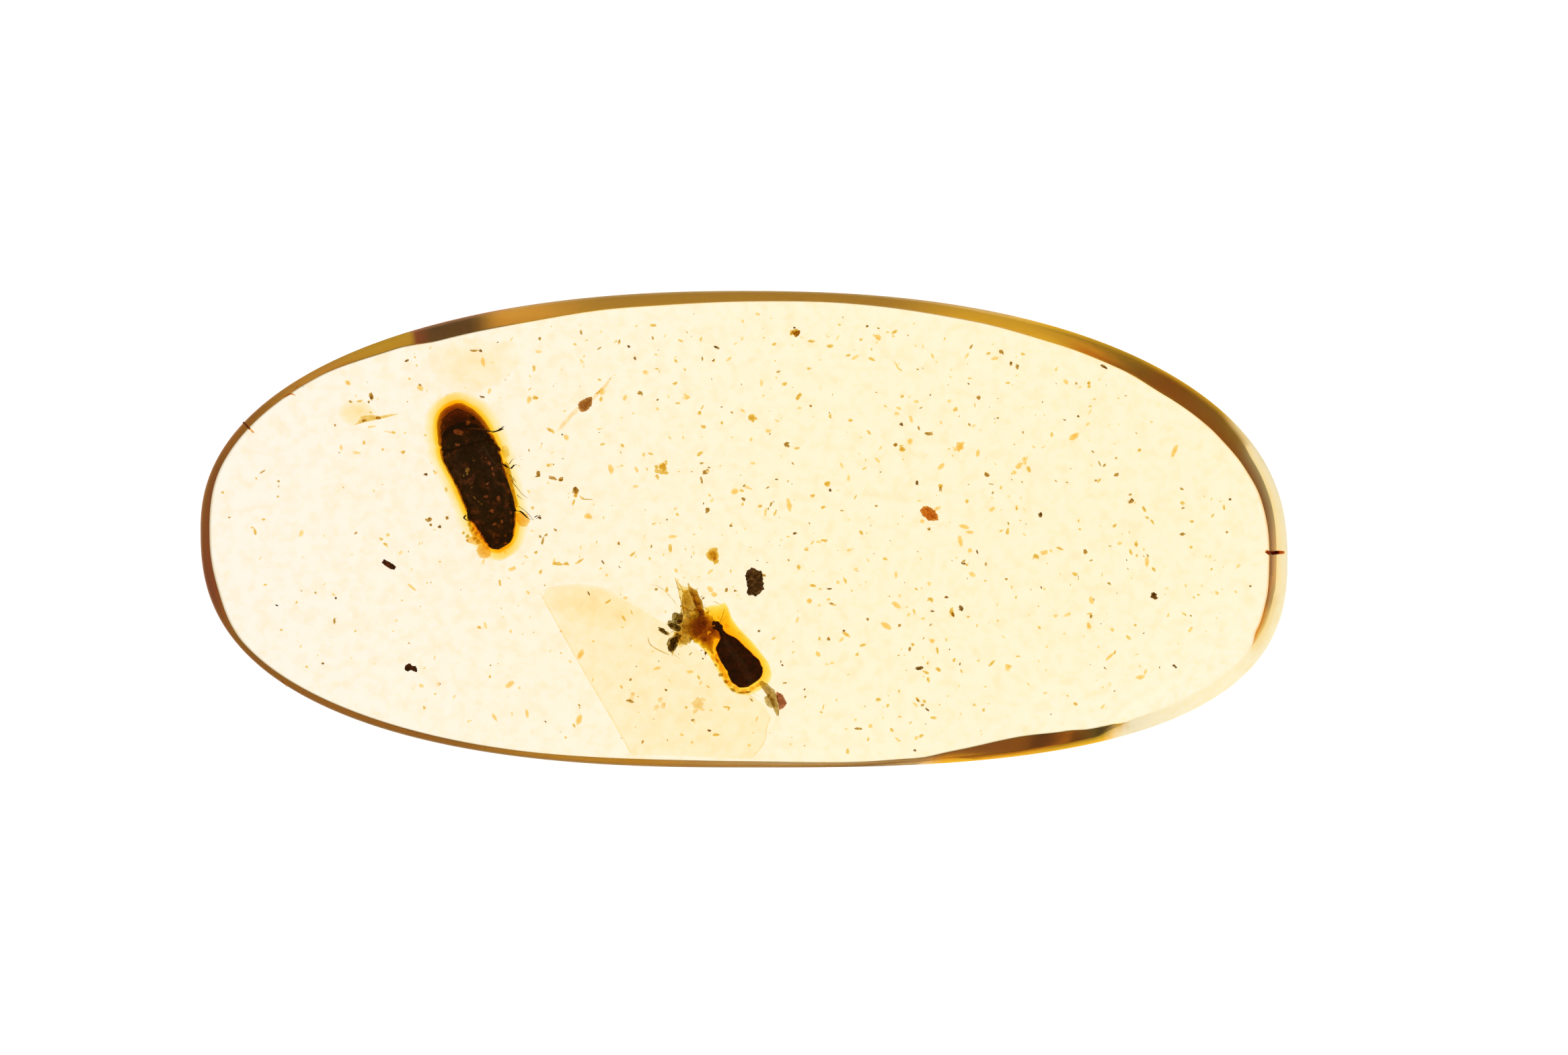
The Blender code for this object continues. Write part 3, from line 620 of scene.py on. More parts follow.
# %% [markdown]
# ## Where a sealed thing really lies
#
# The domed top magnifies: what lies in the stone looks a little further from its middle than it
# is, by up to a tenth of a millimetre. So the place of each sealed thing is found as light finds
# it: a ray runs from the camera to the top, bends there by the law of refraction, and goes on to
# the thing's height.

# %% Places under the polished top
polished_top = BVHTree.FromObject(amber_stone, bpy.context.evaluated_depsgraph_get())


def sealed_at_pixel(right, down, height=INCLUSION_HEIGHT / MM):
    """Place, in metres, of something sealed in the stone, seen at a pixel, at a height in mm."""
    lens = camera.location
    sight = (at_pixel(right, down, GIRDLE_HEIGHT / MM) - lens).normalized()
    spot, normal, _, _ = polished_top.ray_cast(lens, sight)
    if spot is None or spot.z < height * MM:
        return at_pixel(right, down, height)
    ratio = 1.0 / AMBER_IOR
    facing = -normal.dot(sight)
    bent = sight * ratio + normal * (ratio * facing - math.sqrt(1.0 - ratio ** 2 * (1.0 - facing ** 2)))
    return spot + bent * ((height * MM - spot.z) / bent.z)


BEETLE_ENDS = ((682, 600), (735, 817), (1064, 923), (1105, 1022))
for end in BEETLE_ENDS:
    moved = sealed_at_pixel(*end) - at_pixel(*end)
    print("a beetle's end lies off where it seems by, mm:", [round(value / MM, 3) for value in moved])

# %% [markdown]
# ## Shapes for sealed things
#
# A few builders shape nearly everything: a lump is a sphere pushed in and out by noise, a lens is
# a sphere drawn out to an outline, and a thread is a small ring pushed along a line of points.
# The lump comes first: a crumb of bark or soil has no shape of its own beyond being rough, so two
# scales of noise on a ball are enough, and a patch of crumbs is written as a short list.

# %% Lumps
def add_lump(bm, place, half_sizes, turn, roughness, seed, divisions=2, tilt=0.0):
    """Add a rough lump: half sizes in mm, turned about the vertical, pushed by noise."""
    made = bmesh.ops.create_icosphere(bm, subdivisions=divisions, radius=1.0)["verts"]
    shift = Vector((seed * 3.7, seed * 1.9, seed * 5.3))
    spin = Matrix.Rotation(math.radians(turn), 3, "Z") @ Matrix.Rotation(math.radians(tilt), 3, "Y")
    for vert in made:
        coarse = noise.noise(vert.co * 1.6 + shift)
        fine = noise.noise(vert.co * 4.0 + shift)
        spot = vert.co * (1.0 + roughness * (coarse + 0.6 * fine))
        vert.co = place + spin @ Vector(spot[axis] * half_sizes[axis] * MM for axis in range(3))


def patch_sizes(long, short, half_thick):
    """Half sizes in mm of a patch whose length and width are in pixels."""
    return (long / 2.0 / PIXELS_PER_MM, short / 2.0 / PIXELS_PER_MM, half_thick)


def add_patches(bm, patches, half_thick, roughness, height=INCLUSION_HEIGHT / MM, divisions=2):
    """Add lumps at a height in mm, from rows of right, down, length, width and turn."""
    for number, (right, down, long, short, turn) in enumerate(patches):
        add_lump(bm, sealed_at_pixel(right, down, height), patch_sizes(long, short, half_thick),
                 turn, roughness, number, divisions)


# %% [markdown]
# A thin scrap of leaf, a stain or a film is all outline, with a thickness that changes smoothly.
# So the lens starts from a sphere, and each of its points is moved out as far as the outline
# reaches that way. One parameter makes it thin out gently towards its edge, another gives it a
# square edge as on a plate, and noise makes its outline ragged and its faces wavy.

# %% Lenses
NOTHING = 1e-15   # a cross product below this is of parallel lines
EDGE_SLACK = 1e-9
RIPPLE_LENGTH = 0.12 * MM


def outline_reach(outline, middle, angle):
    """How far a closed outline reaches from its middle in a direction."""
    direction = Vector((math.cos(angle), math.sin(angle)))
    reach = 0.0
    for number, start in enumerate(outline):
        end = outline[(number + 1) % len(outline)]
        side = end - start
        across = direction.x * side.y - direction.y * side.x
        if abs(across) < NOTHING:
            continue
        offset = start - middle
        distance_out = (offset.x * side.y - offset.y * side.x) / across
        share = (offset.x * direction.y - offset.y * direction.x) / across
        if distance_out > 0.0 and -EDGE_SLACK <= share <= 1.0 + EDGE_SLACK:
            reach = max(reach, distance_out)
    return reach


def add_lens(bm, pixels, height, half_thickness, around=64, rings=10, crisp=0.0, ripple=0.0, seed=0,
             soft=1.0, grow=1.0, ragged=0.0):
    """Add a lens in the shape of an outline of pixels, at a height in mm.

    Crisp is 0 for a lens that thins to nothing at its edge and 1 for a plate with a square edge.
    Soft is 1 for a round lens, and more for one that thins out gently towards its edge. Ragged is
    the share of its reach by which the outline goes in and out.
    """
    outline = [sealed_at_pixel(right, down).xy for right, down in pixels]
    middle = sum(outline, Vector((0.0, 0.0))) / len(outline)
    reaches = []
    for number in range(around):
        angle = number * 2.0 * math.pi / around
        wiggle = noise.noise(Vector((math.cos(angle) * 5.0, math.sin(angle) * 5.0, seed + 0.5)))
        reaches.append(outline_reach(outline, middle, angle) * (1.0 + ragged * wiggle))
    made = bmesh.ops.create_uvsphere(bm, u_segments=around, v_segments=rings, radius=1.0)["verts"]
    for vert in made:
        angle = math.atan2(vert.co.y, vert.co.x) % (2.0 * math.pi)
        reach = reaches[round(angle * around / (2.0 * math.pi)) % around]
        share = math.hypot(vert.co.x, vert.co.y)
        share = math.sin(share * math.pi / 2.0) if crisp else share
        plate = math.copysign(min(1.0, abs(vert.co.z) * 6.0), vert.co.z)
        up = vert.co.z * (1.0 - crisp) + plate * crisp
        up = math.copysign(abs(up) ** soft, up)
        spot = middle + Vector((math.cos(angle), math.sin(angle))) * reach * grow * share
        wave = ripple * noise.noise(Vector((spot.x, spot.y, seed * MM)) / RIPPLE_LENGTH) * MM
        vert.co = (spot.x, spot.y, height * MM + up * half_thickness * MM + wave)


# %% [markdown]
# Hairs, legs and cracks are long and thin. A curve object with a bevel would do as well, but here
# hundreds of short threads join one mesh, so a ring is extruded from point to point and turned
# to face along the line each time. The line itself is smoothed through a few points first.

# %% Threads
STEPS_BETWEEN = 4


def add_thread(bm, points, radii, sides=6):
    """Add a tube through points, with a radius in mm at each, closed at both ends."""
    ring = None
    for number, (point, radius) in enumerate(zip(points, radii)):
        before = points[max(number - 1, 0)]
        after = points[min(number + 1, len(points) - 1)]
        turn = (after - before).to_track_quat("Z", "Y")
        if ring is None:
            matrix = Matrix.Translation(point) @ turn.to_matrix().to_4x4()
            ring = bmesh.ops.create_circle(bm, cap_ends=True, segments=sides, radius=radius * MM,
                                           matrix=matrix)["verts"]
            face = ring[0].link_faces[0]
            continue
        made = bmesh.ops.extrude_face_region(bm, geom=[face])["geom"]
        if number > 1:
            bmesh.ops.delete(bm, geom=[face], context="FACES_ONLY")
        face = next(item for item in made if isinstance(item, bmesh.types.BMFace))
        middle = face.calc_center_median()
        for vert in face.verts:
            away = (vert.co - middle).normalized()
            away = (away - away.project(turn @ Vector((0.0, 0.0, 1.0)))).normalized()
            vert.co = point + away * radius * MM


def through_pixels(pixels, height):
    """Points of a smooth line through pixels, at a height in mm, or from one height to another."""
    heights = height if isinstance(height, tuple) else (height, height)
    corners = []
    for number, (right, down) in enumerate(pixels):
        share = number / max(1, len(pixels) - 1)
        corners.append(sealed_at_pixel(right, down, heights[0] + (heights[1] - heights[0]) * share))
    line = []
    for number in range(len(corners) - 1):
        before = corners[max(number - 1, 0)]
        start = corners[number]
        end = corners[number + 1]
        after = corners[min(number + 2, len(corners) - 1)]
        for part in range(STEPS_BETWEEN):
            line.append(eased_between(before, start, end, after, part / STEPS_BETWEEN))
    return line + [corners[-1]]


def tapering(line, radius, loss):
    """Radii along a line, from the full radius down by a share of it."""
    return [radius * (1.0 - loss * number / len(line)) for number in range(len(line))]


def eased_between(before, start, end, after, share):
    """Value on a smooth curve through four values, a share of the way from the second to the third."""
    square = share * share
    cube = square * share
    return 0.5 * (2.0 * start + (end - before) * share
                  + (2.0 * before - 5.0 * start + 4.0 * end - after) * square
                  + (3.0 * start - before - 3.0 * end + after) * cube)


def seal(bm):
    """Point every face of a finished bmesh outwards."""
    bmesh.ops.recalc_face_normals(bm, faces=bm.faces)
    return bm


print("points of a line between two of its corners:", STEPS_BETWEEN)

# %% [markdown]
# ## The larger beetle
#
# It lies on its back, 2.8 mm long, its head at the top left. Its wing cases and the shield behind
# its head are thin enough at their edges for light to come through, so it is made of two bodies:
# a tinted cuticle with the full outline, and inside it a dark core that is drawn in at the front
# and stands out of the belly, with the belly plates' grooves.

# %% Stations along the larger beetle
LARGE_RINGS = ((0.00, -0.02, 0.000, 0.00), (0.03, -0.07, 0.160, 0.12), (0.12, -0.09, 0.280, 0.22),
               (0.27, -0.07, 0.390, 0.29), (0.45, -0.045, 0.455, 0.34), (0.58, -0.035, 0.49, 0.355),
               (0.655, -0.03, 0.500, 0.34), (0.70, -0.025, 0.48, 0.29), (0.75, -0.02, 0.515, 0.335),
               (0.90, -0.01, 0.540, 0.38), (1.15, 0.02, 0.520, 0.40), (1.45, 0.055, 0.485, 0.395),
               (1.75, 0.075, 0.465, 0.38), (2.05, 0.105, 0.445, 0.35), (2.25, 0.12, 0.405, 0.31),
               (2.45, 0.115, 0.335, 0.26), (2.62, 0.105, 0.265, 0.20), (2.73, 0.08, 0.180, 0.13),
               (2.79, 0.03, 0.000, 0.00))
LARGE_LENGTH = 2.79
SEEN_SIZE = 0.97  # the dome shows what is sealed a little larger than it is


def body_place(head, turn):
    """Matrix that puts a body with its head at a place in mm, turned about the vertical."""
    return (Matrix.Translation(Vector(head) * MM) @ Matrix.Rotation(math.radians(turn), 4, "Z")
            @ Matrix.Scale(SEEN_SIZE, 4))


LARGE_PLACE = body_place((-5.225, 2.238, 1.75), 15.8)
print("larger beetle's length, mm:", round(LARGE_LENGTH * SEEN_SIZE, 2))

# %% [markdown]
# Both beetles are drawn from such a table. A row is a ring of the body: how far along it stands,
# how far it is off the middle line, and its half width and half depth. A sphere has its rings in
# the right order already and closed poles, so each of its points is moved to the body's ring, and
# a small function per layer then says what this layer does differently.

# %% A trunk through its stations
MERGED = 1e-8  # metres
UPRIGHT = Matrix.Rotation(math.radians(-90.0), 4, "X")


def station(rings, place):
    """A body's ring at a fractional place in its table: along, offset, half width, half depth."""
    number = min(int(place), len(rings) - 2)
    before = rings[max(number - 1, 0)]
    after = rings[min(number + 2, len(rings) - 1)]
    return [eased_between(before[item], rings[number][item], rings[number + 1][item], after[item],
                          place - number) for item in range(4)]


def trunk(rings, placed, sides, divisions, shape):
    """A beetle's trunk: a sphere drawn out to the stations, then shaped by a function.

    The shape function takes the distance along, the angle from straight up, and the ring's half
    width and depth. It gives the distance along, the half width, the half depth and an outward
    push, all in mm.
    """
    bm = bmesh.new()
    bmesh.ops.create_uvsphere(bm, u_segments=sides, v_segments=divisions, radius=1.0, matrix=UPRIGHT)
    for vert in bm.verts:
        place = math.acos(max(-1.0, min(1.0, vert.co.y))) / math.pi * (len(rings) - 1)
        along, offset, half_width, half_depth = station(rings, place)
        turned = math.degrees(math.atan2(vert.co.x, vert.co.z))
        reach = math.hypot(vert.co.x, vert.co.z) or 1.0
        across = vert.co.x / reach
        up = vert.co.z / reach
        along, half_width, half_depth, push = shape(
            along, turned, max(half_width, 0.0), max(half_depth, 0.0))
        spot = Vector((offset + (half_width + push) * across, -along, (half_depth + push) * up))
        vert.co = placed @ (spot * MM)
    bmesh.ops.remove_doubles(bm, verts=bm.verts, dist=MERGED)
    return seal(bm)


def grain_push(along, turned, fine):
    """A small push by noise in three scales, so that no surface is quite smooth."""
    spot = Vector((math.sin(math.radians(turned)), math.cos(math.radians(turned)), along * 2.2))
    return fine * (noise.noise(spot * 4.0) + 0.7 * noise.noise(spot * 11.0)
                   + 0.5 * noise.noise(spot * 27.0))


# %% [markdown]
# The cuticle has the full outline and only a little grain. The core inside it is what blocks the
# light: it starts further back, is drawn in at the sides, and carries the grooves between the
# belly plates and the seam down their middle. At the front, where the core is missing, a smaller
# body of flesh grows dark towards it.

# %% The larger beetle's cuticle, core and flesh
FRONT_END = 0.95
CORE_STARTS = 0.36
CORE_INSETS = (0.036, 0.030)
PLATE_GROOVES = (1.12, 1.58, 1.86, 2.08, 2.27, 2.44, 2.58)
GROOVE_DEPTH = 0.030
GROOVE_WIDTH = 0.018
SEAM_DEPTH = 0.025
SEAM_ANGLE = 7.0
FLESH_STARTS = 0.10
FLESH_INSET = 0.07


def cuticle_shape(along, turned, half_width, half_depth):
    """The thin outer skin: the full outline, flatter than the core on the belly."""
    flat = 0.80 if abs(turned) < 90.0 else 1.0
    return along, half_width, half_depth * flat, grain_push(along, turned, 0.010)


def core_shape(along, turned, half_width, half_depth):
    """The dark core: it starts behind the cuticle's front, and is grooved across the belly."""
    front = max(0.0, 1.0 - along / FRONT_END)
    inset = CORE_INSETS[0] if turned < 0.0 else CORE_INSETS[1]
    narrow = max(0.0, half_width - inset * min(1.0, half_width / 0.3))
    groove = 0.0
    if abs(turned) < 75.0:
        for middle in PLATE_GROOVES:
            groove -= GROOVE_DEPTH * math.exp(-((along - middle) / GROOVE_WIDTH) ** 2)
        seam = 1.0 if 0.75 < along < 1.6 else 0.3
        groove -= SEAM_DEPTH * math.exp(-(turned / SEAM_ANGLE) ** 2) * seam
    belly = 1.04 if abs(turned) < 90.0 else 0.9
    deep = half_depth * belly * min(1.0, narrow / (half_width + 1e-6))
    return along + CORE_STARTS * front, narrow, deep, groove + grain_push(along, turned, 0.026)


def flesh_shape(along, turned, half_width, half_depth):
    """What fills the front under the cuticle: a smaller, darker body that the core runs into."""
    front = max(0.0, 1.0 - along / FRONT_END)
    narrow = max(0.0, half_width - FLESH_INSET)
    thin = 0.85 * half_depth * min(1.0, narrow / (half_width + 1e-6))
    return along + FLESH_STARTS * front, narrow, thin, grain_push(along, turned, 0.05)


cuticle_bm = trunk(LARGE_RINGS, LARGE_PLACE, 64, 96, cuticle_shape)
cuticle_skin = BVHTree.FromBMesh(cuticle_bm)
large_cuticle = piece_from("large_beetle_cuticle", cuticle_bm, cuticle)
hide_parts("large_beetle")

core_bm = trunk(LARGE_RINGS, LARGE_PLACE, 84, 150, core_shape)
core_skin = BVHTree.FromBMesh(core_bm)
large_core = piece_from("large_beetle_core", core_bm, chitin)

FRONT_RINGS = LARGE_RINGS[:11]
large_flesh = piece_from(
    "large_beetle_flesh", trunk(FRONT_RINGS, LARGE_PLACE, 48, 64, flesh_shape), flesh)

# %% [markdown]
# ### The stained amber
#
# What seeped out of the beetle turned the amber round it yellow: strongly in a thin layer at the
# skin, and faintly further out, until it fades away. The fading comes from the shape alone. Both
# layers thin out towards their edge, so the light crosses less and less of the tint.

# %% The stain round the larger beetle
STAIN_MIDDLE = 1.4
STAIN_SPREAD = 0.25
STAIN_WAVES = 0.04
STAIN_THICKNESS = 0.42
STAIN_LONGER = 0.21
GLOW_SPREAD = 0.085
GLOW_THICKNESS = 0.30
GLOW_LONGER = 0.07


def rounding(along):
    """Near 1 along the body, and 0 at both of its ends."""
    share = max(0.0, min(1.0, along / LARGE_LENGTH))
    return math.sqrt(max(0.0, 1.0 - (2.0 * share - 1.0) ** 4))


def lengthened(along, longer):
    """Distance along a layer that reaches past both ends of the body."""
    return along + (along - STAIN_MIDDLE) / STAIN_MIDDLE * longer


def glow_shape(along, turned, half_width, half_depth):
    """A thin, strongly stained layer close to the cuticle."""
    edge = abs(math.cos(math.radians(turned)))
    thick = GLOW_THICKNESS * rounding(along) * (0.12 + 0.88 * edge ** 2)
    return lengthened(along, GLOW_LONGER), half_width + 0.01 + GLOW_SPREAD * rounding(along), thick, 0.0


def stain_shape(along, turned, half_width, half_depth):
    """The stained amber round the body, thick in the middle and thinning smoothly to its edge."""
    side = math.copysign(1.0, math.sin(math.radians(turned)))
    waves = STAIN_WAVES * noise.noise(Vector((along * 2.0, side * 3.0, 0.7)))
    spread = STAIN_SPREAD * rounding(along) + waves
    edge = abs(math.cos(math.radians(turned)))
    thick = STAIN_THICKNESS * rounding(along) * (0.03 + 0.97 * edge ** 2)
    return lengthened(along, STAIN_LONGER), half_width + max(0.01, spread), thick, 0.0


piece_from("large_beetle_inner_stain", trunk(LARGE_RINGS, LARGE_PLACE, 64, 64, glow_shape), bright_stain)
piece_from("large_beetle_stain", trunk(LARGE_RINGS, LARGE_PLACE, 64, 64, stain_shape), stain)

# %% [markdown]
# ### Legs, claws and bristles
#
# The legs are folded on the belly, and only the feet stand out at the right. Each leg is a tube
# through a few points, thick at the thigh and thin at the foot. A point is written in the body's
# own frame, as a distance along it, one to the right, one up and a radius, so the legs would move
# with the body.

# %% The larger beetle's legs
LARGE_LEGS = (
    ((0.50, 0.10, 0.30, 0.055), (0.58, 0.32, 0.27, 0.050), (0.66, 0.46, 0.15, 0.030),
     (0.69, 0.58, 0.11, 0.020), (0.665, 0.675, 0.11, 0.026)),
    ((1.07, -0.02, 0.37, 0.050), (0.93, 0.19, 0.37, 0.060), (1.08, 0.30, 0.33, 0.050),
     (1.27, 0.37, 0.26, 0.040), (1.31, 0.53, 0.14, 0.022), (1.42, 0.63, 0.10, 0.016),
     (1.38, 0.735, 0.10, 0.014)),
    ((1.32, 0.40, 0.20, 0.060), (1.62, 0.465, 0.12, 0.070), (1.95, 0.49, 0.07, 0.065),
     (2.17, 0.49, 0.04, 0.050), (2.24, 0.62, 0.02, 0.018), (2.39, 0.715, 0.0, 0.014),
     (2.45, 0.80, 0.0, 0.015)),
    ((1.72, -0.20, -0.20, 0.060), (1.95, -0.29, -0.10, 0.050), (2.07, -0.325, -0.02, 0.048),
     (2.13, -0.33, 0.04, 0.030)),
    ((0.80, -0.10, 0.36, 0.040), (0.92, -0.26, 0.30, 0.045), (1.10, -0.20, 0.33, 0.040),
     (1.25, -0.24, 0.30, 0.025)),
)


def leg_points(points, placed):
    """Smooth line and radii of a leg from its points in the body's frame."""
    corners = [placed @ (Vector((right, -along, up)) * MM) for along, right, up, _ in points]
    radii = [point[3] for point in points]
    line = []
    sizes = []
    for number in range(len(corners) - 1):
        before = max(number - 1, 0)
        after = min(number + 2, len(corners) - 1)
        for part in range(STEPS_BETWEEN):
            share = part / STEPS_BETWEEN
            line.append(eased_between(corners[before], corners[number], corners[number + 1],
                                      corners[after], share))
            sizes.append(radii[number] + (radii[number + 1] - radii[number]) * share)
    return line + [corners[-1]], sizes + [radii[-1]]


legs_bm = bmesh.new()
for points in LARGE_LEGS:
    line, sizes = leg_points(points, LARGE_PLACE)
    add_thread(legs_bm, line, sizes, 10)

# %% [markdown]
# Claws and bristles reach past the body's edge, where they stand out against the light, so they
# are placed by what is seen. The row of a claw ends with its radius in mm.

# %% Claws and bristles
CLAW_HEIGHT = 1.8
CLAWS = (((731, 643), (741, 640), (748, 637), 0.032), ((742, 640), (748, 634), (751, 634), 0.016),
         ((760, 697), (764, 692), (769, 690), 0.014), ((795, 769), (800, 766), (804, 767), 0.018),
         ((797, 771), (802, 769), (805, 771), 0.012), ((696, 774), (690, 770), (693, 765), 0.02))
for *pixels, radius in CLAWS:
    add_thread(legs_bm, through_pixels(pixels, CLAW_HEIGHT), [radius] * 8 + [radius * 0.3])
large_legs = piece_from("large_beetle_legs", seal(legs_bm), chitin)

BRISTLES = (((761, 716), (768, 724), (775, 733), (785, 741)), ((768, 735), (775, 741), (782, 743)),
            ((770, 752), (778, 757), (786, 764), (793, 772), (799, 773)),
            ((757, 690), (762, 683), (768, 681)), ((757, 706), (763, 711), (767, 717)))
BRISTLE_RADIUS = 0.009
bristles_bm = bmesh.new()
for pixels in BRISTLES:
    line = through_pixels(pixels, CLAW_HEIGHT)
    add_thread(bristles_bm, line, tapering(line, BRISTLE_RADIUS, 2.0 / 3.0), 5)
large_bristles = piece_from("large_beetle_bristles", seal(bristles_bm), chitin)

# %% [markdown]
# ### Marks on the belly, and what hangs on it
#
# The light from below leaves the belly almost black. A peach-coloured spot and gold flecks on it
# are painted highlights, and red-brown patches are the beetle's own colour. Each is a small lens of
# its own, half sunk in the core. They are laid on the belly by dropping a ray on it.

# %% Marks laid on the larger beetle
MARK_HEIGHT = 2.1      # about where the belly is met, in mm
MARK_ROUGHNESS = 0.30


def on_surface(surface, right, down, sink):
    """Where a ray from above meets a surface, a sink in mm below it."""
    above = sealed_at_pixel(right, down, MARK_HEIGHT)
    above.z = HEIGHT
    hit = surface.ray_cast(above, Vector((0.0, 0.0, -1.0)))[0]
    if hit is None:
        return sealed_at_pixel(right, down)
    return hit - Vector((0.0, 0.0, sink * MM))


def marks_piece(name, marks, surface, material, half_thick):
    """A piece of flat lumps on a surface, from rows of right, down, length, width and turn."""
    bm = bmesh.new()
    for number, (right, down, long, short, turn) in enumerate(marks):
        place = on_surface(surface, right, down, half_thick * 0.5)
        add_lump(bm, place, patch_sizes(long, short, half_thick), turn, MARK_ROUGHNESS, number)
    piece_from(name, seal(bm), material)


# painted highlights: a peach spot and gold flecks; the red-brown patches are the beetle's colour
PEACH_HIGHLIGHTS = ((696, 629, 8, 6, 60), (704, 704, 5, 4, 0), (701, 733, 3, 3, 0), (713, 758, 7, 4, 60))
GOLD_HIGHLIGHTS = ((695, 698, 9, 7, 50), (695, 704, 5, 3, 90), (702, 724, 5, 2, 50), (705, 739, 9, 2, -60),
              (711, 745, 7, 1.5, -50), (716, 749, 5, 2, -30), (690, 707, 4, 3, 90))
MAROON_MARKS = ((717, 640, 9, 14, 20), (684, 644, 20, 9, -20), (681, 661, 10, 5, 0), (731, 758, 9, 10, 30),
                (758, 762, 6, 5, 0), (750, 796, 6, 7, 0), (751, 807, 6, 4, 0), (704, 683, 5, 5, 0),
                (706, 677, 6, 5, 60), (711, 671, 8, 5, 30), (718, 672, 8, 5, -40), (723, 680, 6, 8, 0),
                (727, 689, 6, 8, 20), (731, 697, 5, 7, 0), (733, 705, 4, 6, 0), (703, 622, 8, 5, 40),
                (742, 668, 8, 5, -60), (724, 720, 10, 4, 60), (741, 741, 6, 9, 10), (722, 738, 7, 5, 0),
                (735, 779, 8, 4, 20), (745, 775, 6, 5, 60))
marks_piece("beetle_painted_peach_highlights", PEACH_HIGHLIGHTS, cuticle_skin, painted_peach_highlight, 0.012)
marks_piece("beetle_painted_gold_highlights", GOLD_HIGHLIGHTS, core_skin, painted_gold_highlight, 0.014)
marks_piece("beetle_red_brown_patches", MAROON_MARKS, core_skin, maroon_mark, 0.026)

# %% [markdown]
# On the right the edge of a wing case is bent out, and a flake of it is loose. Below on the left a
# torn strip hangs on the body, with a round blob and a disc of froth and a trail of small orange
# beads. All of these are thin and glow, so they are lenses, and the beads are lumps.

# %% Wing edge, torn strip and beads
WING_EDGE = ((747, 690), (752, 686), (757, 690), (760, 703), (762, 718), (766, 735), (770, 750),
             (767, 757), (758, 748), (752, 728), (748, 708))
WING_FLAKE = ((746, 664), (752, 662), (756, 667), (758, 676), (754, 682), (749, 680), (745, 672))
AMBER_BLOB = ((766, 764), (774, 759), (785, 764), (789, 774), (783, 783), (773, 782), (767, 775))
FROTH_DISC = ((708, 818), (711, 811), (718, 809), (726, 812), (730, 819), (729, 827), (721, 831),
              (712, 828))
HIND_KNOB = ((694, 771), (698, 765), (704, 764), (707, 770), (705, 777), (698, 778))
TORN_STRIP = ((697, 767), (703, 782), (699, 791), (703, 797), (693, 800), (693, 806), (702, 808),
              (714, 812), (726, 816), (729, 812), (720, 800), (711, 785), (705, 770))
BEADS = ((702, 786, 8, 7, 40), (708, 793, 7, 5, 65), (716, 797, 8, 6, 90), (722, 804, 6, 4, 115),
         (698, 780, 6, 5, 140), (706, 800, 7, 5, 165), (711, 805, 6, 6, 190), (695, 797, 6, 4, 215),
         (689, 792, 5, 4, 240), (748, 700, 5, 4, 265))
flanges_bm = bmesh.new()
add_lens(flanges_bm, WING_EDGE, 1.62, 0.034, ripple=0.012)
add_lens(flanges_bm, HIND_KNOB, 1.72, 0.050, 32)
add_patches(flanges_bm, BEADS, 0.026, 0.60, divisions=3)
piece_from("wing_edge_and_beads", seal(flanges_bm), tissue)

froth_bm = bmesh.new()
add_lens(froth_bm, AMBER_BLOB, 1.72, 0.050, 40, ripple=0.02)
add_lens(froth_bm, FROTH_DISC, 1.74, 0.050, 40, ripple=0.02)
add_lens(froth_bm, TORN_STRIP, 1.70, 0.040, 64, ripple=0.02)
piece_from("froth_at_larger_beetle", seal(froth_bm), froth_finish)

flake_bm = bmesh.new()
add_lens(flake_bm, WING_FLAKE, 1.66, 0.026, ripple=0.012)
piece_from("wing_flake", seal(flake_bm), web)

# %% [markdown]
# ## The smaller beetle
#
# It is 1.4 mm long and broadest near its tail, with a thin neck and a narrow head. Again it is a
# dark core in a thin tinted skin. The amber round it is stained a strong yellow, most of all beside
# the head, and a lump of torn orange tissue joins it to the sprig.

# %% The smaller beetle
SMALL_RINGS = ((0.00, 0.00, 0.000, 0.000), (0.03, 0.00, 0.040, 0.035), (0.09, 0.01, 0.055, 0.050),
               (0.16, 0.01, 0.055, 0.050), (0.205, 0.02, 0.048, 0.045), (0.26, 0.03, 0.064, 0.060),
               (0.32, 0.04, 0.090, 0.086), (0.38, 0.035, 0.15, 0.130), (0.46, 0.02, 0.225, 0.170),
               (0.60, 0.045, 0.255, 0.20), (0.80, 0.10, 0.285, 0.220), (0.98, 0.145, 0.31, 0.225),
               (1.12, 0.14, 0.318, 0.210), (1.23, 0.145, 0.27, 0.17), (1.30, 0.125, 0.19, 0.120),
               (1.345, 0.07, 0.000, 0.000))
SMALL_PLACE = body_place((-0.511, -1.631, 1.75), 23.8)


def small_skin_shape(along, turned, half_width, half_depth):
    """The smaller beetle's skin, roughened a little by noise."""
    return along, half_width, half_depth, grain_push(along, turned, 0.014)


def small_core_shape(along, turned, half_width, half_depth):
    """The smaller beetle's core, just inside its skin, keeled down the middle."""
    keel = 0.02 * math.exp(-(turned / 12.0) ** 2)
    narrow = max(0.0, half_width - 0.016)
    return along, narrow, max(0.0, half_depth - 0.01), keel + grain_push(along, turned, 0.020)


small_skin = piece_from(
    "small_beetle_skin", trunk(SMALL_RINGS, SMALL_PLACE, 48, 72, small_skin_shape), brown_cuticle)
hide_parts("small_beetle")

# %% [markdown]
# The core, the folded legs and the small lumps that make up its head are all equally dark, so they
# are joined in one mesh. The head is no more than a knot of mouth parts with two feelers.

